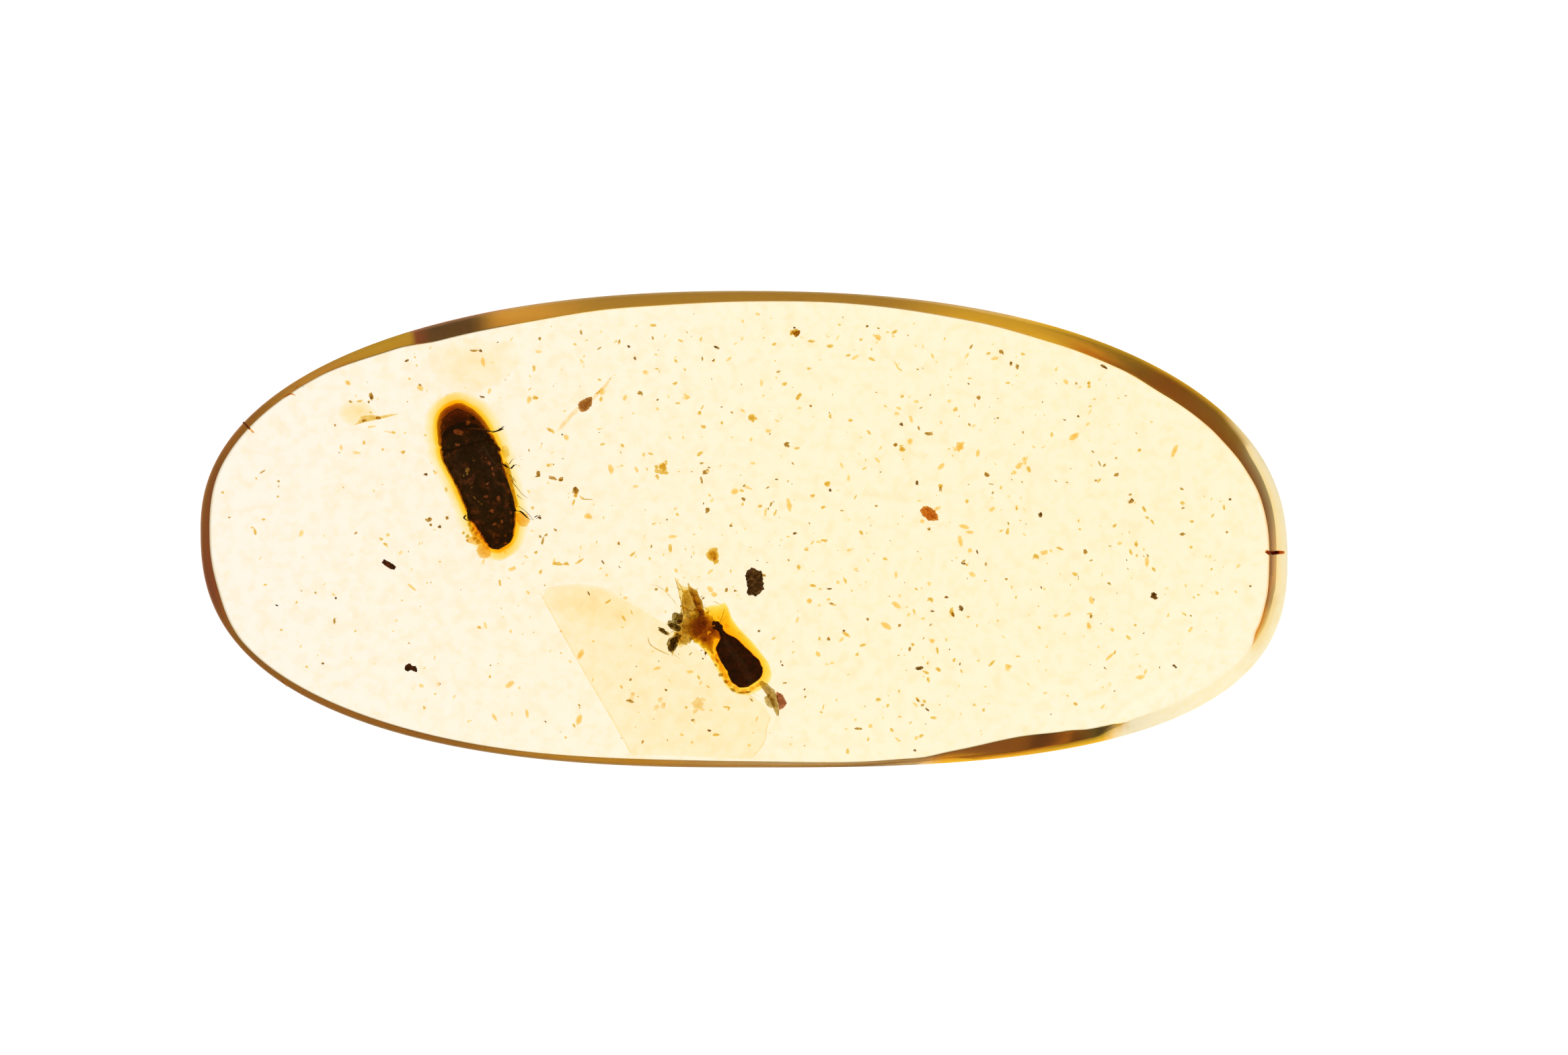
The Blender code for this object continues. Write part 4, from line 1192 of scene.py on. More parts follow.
# %% The smaller beetle's core, legs and head
SMALL_LEGS = (
    ((0.98, 0.38, 0.0, 0.030), (1.08, 0.430, -0.03, 0.024), (1.14, 0.455, -0.05, 0.014)),
    ((0.50, -0.10, 0.10, 0.030), (0.62, -0.180, 0.05, 0.028), (0.80, -0.175, 0.0, 0.020),
     (0.90, -0.165, -0.04, 0.014)),
    ((0.86, -0.10, 0.08, 0.030), (0.98, -0.155, 0.03, 0.026), (1.10, -0.165, 0.0, 0.016)))
HEAD_LUMPS = ((1061, 925, 7, 4, 70), (1067, 925, 5, 4, 0), (1072, 932, 6, 5, -40), (1063, 934, 6, 5, 0),
              (1076, 941, 6, 4, -30))
small_core_bm = trunk(SMALL_RINGS, SMALL_PLACE, 64, 100, small_core_shape)
for points in SMALL_LEGS:
    line, sizes = leg_points(points, SMALL_PLACE)
    add_thread(small_core_bm, line, sizes, 8)
add_patches(small_core_bm, HEAD_LUMPS, 0.035, 0.50, divisions=3)
small_core = piece_from("small_beetle_core", seal(small_core_bm), brown_chitin)

# %% [markdown]
# ### Stain, torn tissue and froth
#
# Here the stain is a lens with an outline of its own, because it spreads to one side. The tissue is
# torn out between the head and the sprig, thickest in its middle, with knots in it. Down the left
# side and under the tail runs a fringe of froth, and brown dirt has caught on it.

# %% The stain, the tissue and the froth round the smaller beetle
HEAD_STAIN = ((1044, 912), (1050, 904), (1060, 902), (1070, 901), (1079, 898), (1083, 906), (1087, 919),
              (1096, 931), (1106, 943), (1118, 955), (1130, 970), (1140, 984), (1145, 1000), (1141, 1013),
              (1130, 1022), (1112, 1031), (1095, 1029), (1080, 1018), (1071, 1002), (1063, 988),
              (1055, 974), (1044, 962), (1032, 952), (1024, 942), (1030, 928), (1038, 919))
small_stain_bm = bmesh.new()
add_lens(small_stain_bm, HEAD_STAIN, 1.75, 0.12, 96, 24, ripple=0.02, soft=1.4, grow=1.05)
piece_from("small_beetle_stain", seal(small_stain_bm), orange_stain)

TISSUE = ((1044, 911), (1052, 915), (1060, 922), (1068, 932), (1074, 944), (1072, 950), (1064, 947),
          (1059, 950), (1058, 961), (1052, 962), (1043, 955), (1034, 948), (1028, 938), (1028, 924),
          (1034, 914))
TISSUE_PATCHES = ((1058, 938, 16, 10, 40), (1049, 925, 12, 7, 30), (1046, 950, 12, 8, -20),
                  (1058, 968, 10, 4, -60), (1066, 982, 8, 4, -50), (1052, 910, 6, 3, 30))
tissue_bm = bmesh.new()
add_lens(tissue_bm, TISSUE, 1.62, 0.12, 72, 20, ripple=0.03, soft=2.2, grow=1.22, ragged=0.2)
add_patches(tissue_bm, TISSUE_PATCHES, 0.025, 0.35, 1.76)
piece_from("torn_tissue", seal(tissue_bm), tissue)

FRINGE = ((1062, 977, 12, 9, -50), (1069, 985, 12, 8, -50), (1073, 995, 12, 8, -60),
          (1078, 1004, 12, 7, -60), (1084, 1015, 12, 7, -50), (1094, 1024, 12, 6, -30),
          (1106, 1028, 13, 6, 0), (1118, 1024, 12, 6, 25), (1127, 1018, 10, 5, 30), (1066, 973, 7, 5, 0),
          (1080, 1012, 6, 5, 0))
DARK_FRINGE = ((1072, 1003, 7, 5, 0), (1079, 1013, 6, 4, -40), (1090, 1026, 9, 4, -30),
               (1102, 1030, 12, 3, -5), (1112, 1029, 9, 3, 10), (1064, 989, 5, 3, -50))
fringe_bm = bmesh.new()
add_patches(fringe_bm, FRINGE, 0.030, 0.35, 1.70)
piece_from("froth_fringe", seal(fringe_bm), froth_finish)

dark_fringe_bm = bmesh.new()
add_patches(dark_fringe_bm, DARK_FRINGE, 0.020, 0.60, 1.78, 3)
piece_from("brown_fringe", seal(dark_fringe_bm), brown_speck)

# %% [markdown]
# ## The leafy sprig
#
# The sprig is a torn tip of a leaf: an olive middle, a darker lobe that points up, a pale web
# beside it, and small grey-green lobes at the left. Each lobe is a lens of its own thickness,
# so the light darkens it towards its middle, and short teeth roughen the edges. The outlines come
# first, from the top down.

# %% Outlines of the sprig
SPRIG_HEIGHT = 1.42
SPRIG_MIDDLE = ((1012, 900), (1022, 903), (1032, 905), (1042, 902), (1048, 908), (1052, 920), (1050, 934),
                (1042, 944), (1030, 950), (1018, 948), (1010, 940), (1012, 928), (1018, 918), (1016, 908))
SPRIG_NECK = ((1014, 884), (1022, 876), (1030, 882), (1038, 892), (1044, 904), (1040, 916), (1028, 920),
              (1018, 912), (1013, 898))
UPPER_LOBE = ((1022, 872), (1024, 868), (1030, 873), (1036, 877), (1040, 888), (1044, 893), (1046, 904),
              (1049, 914), (1043, 914), (1036, 906), (1031, 896), (1027, 886))
LOBE_DARK = ((1030, 884), (1036, 884), (1040, 894), (1042, 904), (1036, 904), (1031, 894))
WEB_UPPER = ((1001, 857), (1006, 858), (1010, 866), (1016, 872), (1023, 873), (1026, 884), (1028, 896),
             (1022, 908), (1016, 905), (1012, 892), (1009, 878), (1008, 868))
WEB_LOWER = ((1000, 938), (1008, 940), (1018, 944), (1024, 950), (1018, 958), (1010, 962), (1004, 956),
             (1001, 948))
LOBE_LEFT = ((1013, 908), (1016, 913), (1015, 922), (1010, 927), (1003, 925), (1002, 919), (1006, 913))
LOBE_MIDDLE = ((993, 928), (998, 924), (1006, 926), (1012, 932), (1012, 938), (1004, 938), (996, 934))
LEAF_TIP = ((978, 936), (984, 933), (989, 937), (993, 942), (991, 944), (985, 941))
LOBE_LOWER = ((994, 948), (1000, 945), (1008, 950), (1008, 958), (1003, 966), (999, 970), (995, 966),
              (991, 956))
LOBE_CORE = ((996, 951), (1001, 948), (1005, 952), (1002, 956), (997, 955))
LOBE_BRIDGE = ((1014, 909), (1020, 915), (1022, 930), (1029, 942), (1025, 954), (1016, 960), (1007, 954),
               (1001, 948), (1002, 939), (1010, 936), (1011, 927), (1006, 921))
LOBE_LUMPS = ((1004, 915, 13, 8, 60), (1000, 929, 14, 9, -10), (1008, 934, 9, 8, 0),
              (984, 937, 11, 5, -30), (991, 941, 9, 4, -20), (1003, 952, 12, 10, 0),
              (998, 962, 13, 9, 60), (1008, 946, 9, 8, 0), (1010, 923, 8, 6, 40), (1001, 958, 10, 8, 20))
TEETH = (((1036, 877), (1038, 873)), ((1041, 888), (1045, 886)), ((1046, 899), (1050, 898)),
         ((1024, 869), (1023, 865)), ((1047, 908), (1052, 907)), ((1000, 969), (999, 974)),
         ((1013, 909), (1013, 904)), ((993, 930), (989, 928)), ((1010, 949), (1014, 955)),
         ((1002, 938), (996, 941)), ((990, 942), (995, 946)), ((1028, 948), (1026, 954)),
         ((1011, 878), (1007, 874)), ((1012, 889), (1008, 887)), ((1014, 899), (1011, 903)))
TOOTH_RADII = (0.020, 0.018, 0.014, 0.009, 0.004)
print("teeth on the sprig:", len(TEETH))

# %% [markdown]
# The lobes lie over each other at heights of their own, so that where two of them cross, the light
# passes both and the place is darker. The ragged share makes an outline go in and out.

# %% Sprig
sprig_bm = bmesh.new()
add_lens(sprig_bm, SPRIG_MIDDLE, SPRIG_HEIGHT, 0.054, 72, 10, ripple=0.02, seed=1, ragged=0.2)
add_lens(sprig_bm, SPRIG_NECK, SPRIG_HEIGHT + 0.05, 0.026, 64, 10, ripple=0.02, seed=5)
add_lens(sprig_bm, UPPER_LOBE, SPRIG_HEIGHT + 0.10, 0.060, 64, 10, ripple=0.02, seed=2)
add_lens(sprig_bm, LOBE_DARK, SPRIG_HEIGHT + 0.18, 0.045, 48, 10, ripple=0.01, seed=3)
add_lens(sprig_bm, LOBE_BRIDGE, SPRIG_HEIGHT - 0.02, 0.030, 64, 10, ripple=0.02, seed=12, ragged=0.25)
for start, end in TEETH:
    add_thread(sprig_bm, through_pixels((start, end), SPRIG_HEIGHT + 0.08), TOOTH_RADII, 5)
leafy_sprig = piece_from("leafy_sprig_olive", seal(sprig_bm), leaf)
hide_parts("leafy_sprig")

lobes_bm = bmesh.new()
add_lens(lobes_bm, LOBE_LEFT, SPRIG_HEIGHT, 0.022, 48, 10, ripple=0.015, seed=4)
add_lens(lobes_bm, LOBE_MIDDLE, SPRIG_HEIGHT, 0.036, 48, 10, ripple=0.015, seed=6)
add_lens(lobes_bm, LEAF_TIP, SPRIG_HEIGHT, 0.016, 40, 8, ripple=0.01, seed=7)
add_lens(lobes_bm, LOBE_LOWER, SPRIG_HEIGHT, 0.018, 48, 10, ripple=0.015, seed=8)
add_lens(lobes_bm, LOBE_CORE, SPRIG_HEIGHT + 0.03, 0.016, 40, 8, ripple=0.01, seed=9)
add_patches(lobes_bm, LOBE_LUMPS, 0.022, 0.50, SPRIG_HEIGHT + 0.06, 3)
sprig_lobes = piece_from("leafy_sprig_lobes", seal(lobes_bm), dark_leaf)

web_bm = bmesh.new()
add_lens(web_bm, WEB_UPPER, SPRIG_HEIGHT, 0.030, 64, 10, ripple=0.02, seed=10)
add_lens(web_bm, WEB_LOWER, SPRIG_HEIGHT, 0.026, 48, 10, ripple=0.02, seed=11)
sprig_web = piece_from("leafy_sprig_web", seal(web_bm), web)

# %% [markdown]
# ## The grass blade and the other small pieces
#
# A twisted scrap of a grass blade hangs from the smaller beetle's tail, with a red grain beside it.
# A seed, a pellet of soil, a bead of darker resin, a splinter of wood and a dark crumb lie
# elsewhere. They stand where the solids stand, but their outlines are finer. One loop makes them
# all: a row has the piece's name, the node it replaces, its slot, outline, height, thickness,
# ripple and finish.

# %% Blade, grain and other pieces
BLADE = ((1128, 1014), (1134, 1010), (1141, 1016), (1149, 1025), (1155, 1031), (1158, 1042), (1160, 1053),
         (1157, 1066), (1152, 1060), (1149, 1050), (1144, 1040), (1138, 1030), (1132, 1022))
BLADE_FOLD = ((1136, 1036), (1144, 1031), (1151, 1040), (1153, 1050), (1146, 1052), (1140, 1048),
              (1137, 1043))
RED_GRAIN = ((1154, 1030), (1161, 1031), (1166, 1037), (1170, 1046), (1166, 1052), (1159, 1057),
             (1157, 1047), (1154, 1038))
PELLET = ((1113, 846), (1117, 843), (1124, 845), (1131, 848), (1134, 856), (1136, 866), (1136, 874),
          (1131, 881), (1124, 886), (1115, 885), (1110, 881), (1112, 873), (1110, 865), (1108, 858),
          (1109, 851))
SEED = ((859, 604), (861, 597), (867, 594), (874, 591), (880, 590), (881, 596), (879, 603), (874, 609),
        (868, 612), (862, 611))
RESIN_BEAD = ((1368, 757), (1374, 752), (1383, 754), (1390, 759), (1395, 767), (1395, 774), (1388, 775),
              (1380, 774), (1374, 768), (1368, 763))
SPLINTER = ((567, 836), (571, 831), (577, 834), (584, 838), (589, 843), (586, 847), (580, 845), (573, 841))
CRUMB = ((601, 993), (604, 988), (609, 986), (613, 990), (618, 990), (620, 994), (620, 1000), (615, 998),
         (611, 996), (607, 998), (603, 997))
SMALL_PIECES = (
    ("plant_blade_body", "plant_blade", "grey_leaf", BLADE, 1.62, 0.034, 0.015, grey_leaf),
    ("red_grain_rough", "red_grain", "red_mineral", RED_GRAIN, 1.92, 0.060, 0.030, grain_finish),
    ("soil_pellet", "dark_pellet", "dark_soil", PELLET, 1.75, 0.150, 0.050, soil),
    ("seed_body", "seed", "seed_coat", SEED, 1.75, 0.080, 0.010, seed_finish),
    ("resin_bead_body", "resin_bead", "red_resin", RESIN_BEAD, 1.75, 0.100, 0.015, bead_finish),
    ("splinter_of_wood", "wood_splinter", "dark_wood", SPLINTER, 1.75, 0.050, 0.010, wood),
    ("dark_crumb_rough", "dark_crumb", "dark_wood", CRUMB, 1.75, 0.070, 0.030, wood))
for number, (name, node, slot, outline, height, thick, ripple, material) in enumerate(SMALL_PIECES):
    bm = bmesh.new()
    add_lens(bm, outline, height, thick, 80, 16, ripple=ripple, seed=20 + number, ragged=0.16)
    piece = piece_from(name, seal(bm), material)
    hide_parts(node)
fold_bm = bmesh.new()
add_lens(fold_bm, BLADE_FOLD, 1.68, 0.020, 40, 8, ripple=0.01, seed=31)
piece_from("plant_blade_fold", seal(fold_bm), grey_leaf)

# %% [markdown]
# ## Threads, the seed's streak and the flow film
#
# Fine hairs stand out from the sprig. A pale streak passes the seed, and in the resin's second
# flow a thin film was caught: a broad, faintly darker sheet with a sharp left edge, from the
# smaller beetle down to the rim. Hairs are tubes, and the streak and the films are thin plates.

# %% Threads
SPRIG_THREADS = (
    (((963, 869), (980, 873), (996, 887), (1006, 899)), 1.5, 0.008),
    (((1050, 894), (1063, 895), (1074, 901)), 1.5, 0.009),
    (((963, 947), (967, 958), (980, 966), (996, 973)), 1.4, 0.011),
    (((1046, 900), (1053, 906), (1058, 910)), 1.5, 0.009),
    (((1003, 857), (1007, 872), (1012, 892), (1018, 912)), 1.5, 0.010),
    (((1010, 866), (1016, 882), (1020, 900)), 1.5, 0.008),
    (((1000, 970), (1005, 974), (1010, 980)), 1.4, 0.007),
    (((986, 940), (996, 944), (1008, 946), (1022, 945)), 1.4, 0.012))
threads_bm = bmesh.new()
for pixels, height, radius in SPRIG_THREADS:
    line = through_pixels(pixels, height)
    radii = [radius * (0.5 + 0.5 * math.sin(math.pi * number / len(line))) for number in range(len(line))]
    add_thread(threads_bm, line, radii, 5)
piece_from("sprig_hairs", seal(threads_bm), leaf)

BEETLE_THREADS = (
    (((1069, 927), (1073, 918), (1077, 905)), 1.8, 0.012),
    (((1071, 928), (1076, 920), (1080, 915)), 1.8, 0.007),
    (((1098, 941), (1103, 944), (1108, 947)), 1.8, 0.010),
    (((1046, 962), (1049, 971), (1048, 977)), 1.7, 0.007),
    (((1043, 900), (1048, 904), (1053, 907)), 1.7, 0.012),
    (((1118, 1030), (1124, 1033), (1130, 1036)), 1.6, 0.006),
    (((1108, 1030), (1116, 1034), (1121, 1040)), 1.6, 0.006))
hairs_bm = bmesh.new()
for pixels, height, radius in BEETLE_THREADS:
    line = through_pixels(pixels, height)
    add_thread(hairs_bm, line, tapering(line, radius, 0.7), 5)
piece_from("small_beetle_hairs", seal(hairs_bm), brown_speck)

# %% [markdown]
# The streak is a trail of fine bubbles or dust that the flowing resin drew out past the seed. The
# film is wide and so thin that it shows only as a slight darkening, so its lens is a plate with a
# square edge, and its edge gets a fine thread of its own where it catches the light.

# %% The seed's streak and the films
STREAK_LEFT = ((828, 641), (834, 630), (844, 618), (856, 606), (862, 602), (864, 609), (852, 618),
               (842, 630), (833, 641))
STREAK_RIGHT = ((878, 592), (888, 583), (898, 572), (906, 562), (912, 555), (909, 564), (902, 575),
                (892, 586), (881, 597))
SWIRL_STICK = ((524, 634), (532, 628), (537, 619), (552, 617), (566, 619), (580, 616), (597, 615),
               (598, 618), (580, 620), (563, 624), (548, 627), (538, 629), (531, 633))
SWIRL_PATCH = ((512, 606), (522, 600), (536, 600), (546, 605), (555, 615), (546, 619), (538, 621),
               (533, 627), (524, 631), (514, 625), (508, 616))
streak_bm = bmesh.new()
add_lens(streak_bm, STREAK_LEFT, 1.70, 0.026, 64, 8, seed=41)
add_lens(streak_bm, STREAK_RIGHT, 1.70, 0.020, 64, 8, seed=42)
piece_from("pale_streaks", seal(streak_bm), pale_speck)
swirl_bm = bmesh.new()
add_lens(swirl_bm, SWIRL_STICK, 1.50, 0.022, 64, 8, seed=43)
piece_from("orange_swirl", seal(swirl_bm), orange_speck)

LARGE_FILM = ((802, 880), (826, 872), (854, 869), (897, 875), (918, 886), (952, 903), (985, 922),
              (1010, 950), (1036, 962), (1062, 985), (1084, 1020), (1116, 1030), (1138, 1046),
              (1146, 1065), (1140, 1080), (1137, 1101), (1120, 1124), (1060, 1122), (1000, 1119),
              (938, 1118), (905, 1060), (870, 1000), (836, 940))
SECOND_FILM = ((640, 514), (700, 505), (766, 512), (774, 540), (752, 570), (716, 584), (676, 590),
               (648, 566), (636, 540))
FILM_SHADE = ((800, 878), (826, 870), (860, 866), (900, 872), (940, 890), (980, 912), (960, 930),
              (900, 935), (850, 925), (815, 905))
FILM_EDGES = (((802, 880), (836, 940), (870, 1000), (905, 1060), (938, 1118)),
              ((802, 880), (826, 872), (854, 869), (897, 875), (918, 886)),
              ((1146, 1065), (1140, 1080), (1137, 1101), (1120, 1124)))
films_bm = bmesh.new()
add_lens(films_bm, LARGE_FILM, 1.10, 0.013, 120, 12, crisp=1.0, seed=44)
add_lens(films_bm, SECOND_FILM, 1.10, 0.016, 80, 16, seed=45, soft=2.0)
add_lens(films_bm, FILM_SHADE, 1.20, 0.016, 80, 16, seed=47, soft=2.0)
add_lens(films_bm, SWIRL_PATCH, 1.40, 0.040, 64, 16, seed=46, soft=2.0, grow=1.3)
piece_from("flow_films", seal(films_bm), film_finish)

film_edge_bm = bmesh.new()
for pixels in FILM_EDGES:
    line = through_pixels(pixels, 1.12)
    add_thread(film_edge_bm, line, tapering(line, 0.010, 0.0))
piece_from("film_edge", seal(film_edge_bm), pale_speck)

# %% [markdown]
# ## Nicks in the wall
#
# The grinding left a few short cracks across the wall, filled with brown dirt. The longest crosses
# the right-hand end. Each is a thin tube laid on the wall and half sunk in it.

# %% Nicks
NICK_SINK = 0.3  # of its radius
NICKS = (((1883, 820), (1891, 822), (1901, 821), (1909, 821), 0.038),
         ((362, 628), (367, 633), (371, 637), (377, 643), 0.020),
         ((423, 590), (430, 586), (434, 585), (439, 588), 0.018),
         ((440, 577), (445, 572), (448, 572), (452, 576), 0.014),
         ((419, 1012), (421, 1014), (424, 1017), (427, 1020), 0.016))


def on_stone(right, down, sink):
    """Where the line of sight through a pixel meets the stone, a sink in mm below its surface."""
    sight = (at_pixel(right, down, GIRDLE_HEIGHT / MM) - camera.location).normalized()
    spot, normal, _, _ = polished_top.ray_cast(camera.location, sight)
    if spot is None:
        return at_pixel(right, down, GIRDLE_HEIGHT / MM)
    return spot - normal * sink * MM


nicks_bm = bmesh.new()
for *pixels, radius in NICKS:
    line = [on_stone(right, down, radius * NICK_SINK) for right, down in pixels]
    add_thread(nicks_bm, line, (radius * 0.9, radius, radius, radius * 0.8))
piece_from("nicks_in_the_wall", seal(nicks_bm), brown_cuticle)

# %% [markdown]
# ## Specks
#
# Crumbs of bark, dust and frass float all through the stone. The larger ones stand at places of
# their own, written down one by one with a length, a width and a turn. Hundreds of the smallest
# are strewn by a seeded random generator, more of them in the middle and at the right.
# Every speck is a low-face ball pushed by noise, and each finish is one joined mesh. A row below
# has a speck's place, its length and width, and its turn.

# %% Specks with a place of their own
DARK_SPECKS = (
    (1340, 631, 7, 5, 0), (1641, 545, 12, 5, -30), (1363, 718, 5, 8, -15), (1547, 765, 7, 8, 0),
    (1453, 820, 3, 8, 20), (1431, 837, 8, 4, -20), (1234, 729, 4, 6, 30), (1716, 888, 11, 11, 0),
    (1746, 990, 12, 4, -40), (1643, 993, 7, 2, -40), (1428, 903, 6, 11, 25), (1407, 888, 7, 4, 0),
    (1366, 991, 12, 6, 10), (1379, 1054, 9, 3, -35), (1386, 908, 7, 3, 0), (1233, 876, 9, 3, 0),
    (1255, 938, 5, 4, 0), (1360, 1115, 5, 4, 0), (935, 515, 6, 4, -30), (944, 532, 4, 6, 20),
    (1065, 516, 11, 4, -20), (836, 646, 3, 3, 0), (802, 769, 6, 4, -20), (1181, 487, 5, 3, 0),
    (480, 986, 5, 4, 0), (653, 783, 6, 5, 0), (605, 536, 7, 4, 20), (717, 590, 9, 3, -10),
    (714, 521, 5, 5, 0), (1054, 1086, 6, 4, -20), (1829, 744, 5, 4, 0), (1049, 970, 5, 5, 40),
    (1045, 978, 3, 3, 0), (1163, 989, 4, 3, -20), (633, 705, 7, 5, -20), (499, 889, 4, 4, 0))
BROWN_SPECKS = (
    (864, 494, 4, 9, 15), (1184, 495, 10, 8, 30), (952, 584, 9, 6, -20), (1169, 661, 8, 8, 0),
    (1052, 758, 8, 8, 20), (1086, 781, 5, 5, 0), (1105, 741, 8, 5, -30), (920, 807, 5, 5, 0),
    (826, 788, 6, 4, -20), (800, 704, 8, 11, 0), (822, 711, 14, 6, -15), (834, 713, 9, 7, 0),
    (856, 729, 10, 10, -40), (872, 742, 22, 2, -3), (807, 804, 4, 13, -10), (812, 795, 7, 4, 30),
    (1043, 688, 7, 4, 0), (1048, 703, 8, 8, 0), (1043, 714, 4, 13, 12), (1146, 750, 4, 8, -20),
    (1488, 523, 8, 7, 0), (1503, 540, 5, 8, 0), (1512, 545, 5, 9, 0), (1455, 591, 8, 6, -20),
    (1380, 645, 13, 6, 0), (1331, 661, 7, 7, 0), (1467, 706, 9, 7, -20), (1681, 744, 10, 7, 35),
    (1659, 706, 8, 6, 20), (1629, 714, 5, 4, 0), (1758, 752, 6, 3, 10), (1757, 796, 9, 5, 10),
    (1612, 820, 7, 8, 0), (1651, 809, 5, 2, -10), (1699, 821, 4, 2, -40), (1704, 827, 5, 3, -50),
    (1625, 918, 5, 7, 0), (1600, 570, 4, 5, 0), (1659, 681, 5, 2, -40), (1521, 642, 3, 5, 0),
    (1289, 485, 5, 5, 0), (1306, 488, 5, 3, -40), (1205, 604, 5, 4, -30), (1398, 727, 5, 8, 0),
    (1381, 786, 6, 5, 0), (1252, 759, 6, 3, 0), (1236, 897, 8, 4, -10), (1337, 930, 6, 5, 30),
    (1290, 921, 5, 5, 0), (1232, 950, 6, 6, 0), (1276, 1081, 14, 4, 0), (1197, 1036, 4, 4, -30),
    (1352, 965, 5, 7, -20), (1657, 1027, 4, 3, 0), (937, 1042, 13, 5, -12), (1030, 1070, 6, 4, 0),
    (990, 1026, 6, 4, -30), (1134, 855, 7, 6, 0), (1080, 878, 5, 7, 0), (1093, 879, 5, 4, 0),
    (705, 521, 13, 4, 0), (497, 923, 4, 10, 0), (469, 881, 4, 4, 0), (638, 772, 10, 7, 30),
    (665, 770, 6, 6, 0), (640, 780, 5, 5, 0), (1823, 791, 5, 4, 0), (1859, 871, 5, 4, 0),
    (695, 803, 4, 3, 0), (414, 715, 5, 4, 0), (390, 701, 11, 3, 30), (341, 769, 5, 3, 0),
    (608, 956, 4, 3, 0), (1142, 757, 3, 5, 0), (1363, 1037, 3, 9, 35), (1322, 886, 4, 2, -20),
    (1371, 1050, 6, 4, 0), (1416, 912, 5, 9, 20), (1495, 859, 5, 4, -20), (1440, 720, 3, 2, 0),
    (552, 589, 7, 13, 15), (548, 597, 4, 5, 0), (521, 597, 7, 4, -10), (498, 632, 3, 5, 20),
    (562, 621, 9, 5, 0), (541, 625, 8, 5, 10))
ORANGE_SPECKS = (
    (1183, 494, 18, 11, -10), (1060, 824, 17, 22, 10), (1064, 834, 11, 10, -30), (986, 694, 12, 14, 20),
    (984, 701, 24, 7, -5), (977, 708, 5, 10, 15), (990, 688, 5, 9, 0), (976, 694, 6, 7, 0),
    (1152, 763, 4, 12, -25), (856, 735, 8, 10, -30), (866, 740, 12, 3, -30), (1333, 543, 3, 14, 35),
    (1337, 549, 11, 3, -30), (1341, 667, 10, 9, -20), (1264, 625, 9, 5, 0), (1234, 618, 5, 9, 0),
    (1420, 609, 9, 5, 0), (1229, 720, 9, 9, -40), (1224, 754, 9, 5, 20), (1208, 737, 9, 5, 0),
    (1398, 722, 8, 7, -20), (1188, 588, 7, 13, -30), (1166, 571, 9, 6, 30), (1118, 621, 15, 10, -30),
    (1004, 570, 8, 5, 30), (1040, 614, 6, 8, 0), (1044, 606, 3, 9, -30), (1046, 634, 8, 6, 0),
    (1073, 628, 5, 5, 0), (891, 564, 6, 4, -20), (889, 584, 9, 4, 20), (819, 640, 14, 6, -30),
    (796, 591, 10, 6, 0), (815, 691, 8, 5, 0), (829, 838, 20, 6, -5), (842, 838, 8, 6, 0),
    (862, 834, 17, 4, 30), (966, 830, 4, 6, 0), (1102, 729, 9, 4, -10), (1130, 753, 8, 5, 0),
    (1104, 750, 5, 6, 0), (797, 821, 7, 5, 0), (1498, 569, 8, 4, 0), (1619, 569, 6, 6, 0),
    (1627, 593, 5, 3, 0), (1383, 890, 10, 7, 0), (1414, 909, 7, 13, 15), (1359, 909, 4, 9, 25),
    (1365, 1043, 5, 9, 30), (1375, 1046, 5, 6, 0), (1379, 1012, 5, 10, 15), (1418, 978, 6, 5, 30),
    (1305, 1038, 8, 6, 0), (1221, 1059, 5, 4, 0), (1325, 1086, 5, 7, 20), (1370, 1095, 9, 5, 30),
    (1274, 972, 7, 5, 30), (1257, 1084, 6, 2, 0), (1464, 863, 5, 3, 0), (1782, 884, 5, 4, 0),
    (1597, 848, 8, 6, 0), (1540, 826, 11, 7, 0), (1375, 997, 12, 5, -20), (1258, 943, 14, 6, -25),
    (1462, 1057, 5, 6, 0), (1449, 1046, 5, 4, 0), (1660, 680, 4, 3, 0), (1694, 669, 6, 6, 0),
    (1437, 839, 8, 4, -20), (1362, 875, 6, 4, -30), (1260, 1116, 5, 9, 0), (1232, 891, 6, 4, 0),
    (1240, 899, 8, 3, 0), (1511, 755, 4, 9, 0), (1356, 957, 6, 6, 0), (1280, 505, 6, 4, 0),
    (1703, 770, 6, 4, 0), (1688, 812, 6, 8, 20), (1689, 827, 4, 5, 0), (573, 809, 9, 5, -40),
    (567, 801, 8, 4, -20), (418, 936, 5, 4, 0), (441, 895, 4, 4, 0), (528, 938, 4, 4, 0),
    (394, 869, 6, 4, 0), (456, 991, 5, 4, 0), (598, 892, 4, 3, 0), (631, 1052, 5, 5, 0),
    (381, 711, 4, 4, 0), (413, 738, 5, 4, 0), (331, 732, 6, 4, 0), (392, 772, 6, 4, 0),
    (375, 784, 5, 4, 0), (535, 596, 9, 4, 10), (551, 613, 6, 3, -30), (585, 643, 8, 5, -20),
    (541, 657, 5, 6, 0), (569, 668, 4, 5, 0), (599, 672, 8, 6, 0), (654, 835, 5, 3, 0),
    (797, 590, 5, 3, 0), (1020, 1051, 5, 5, 0))
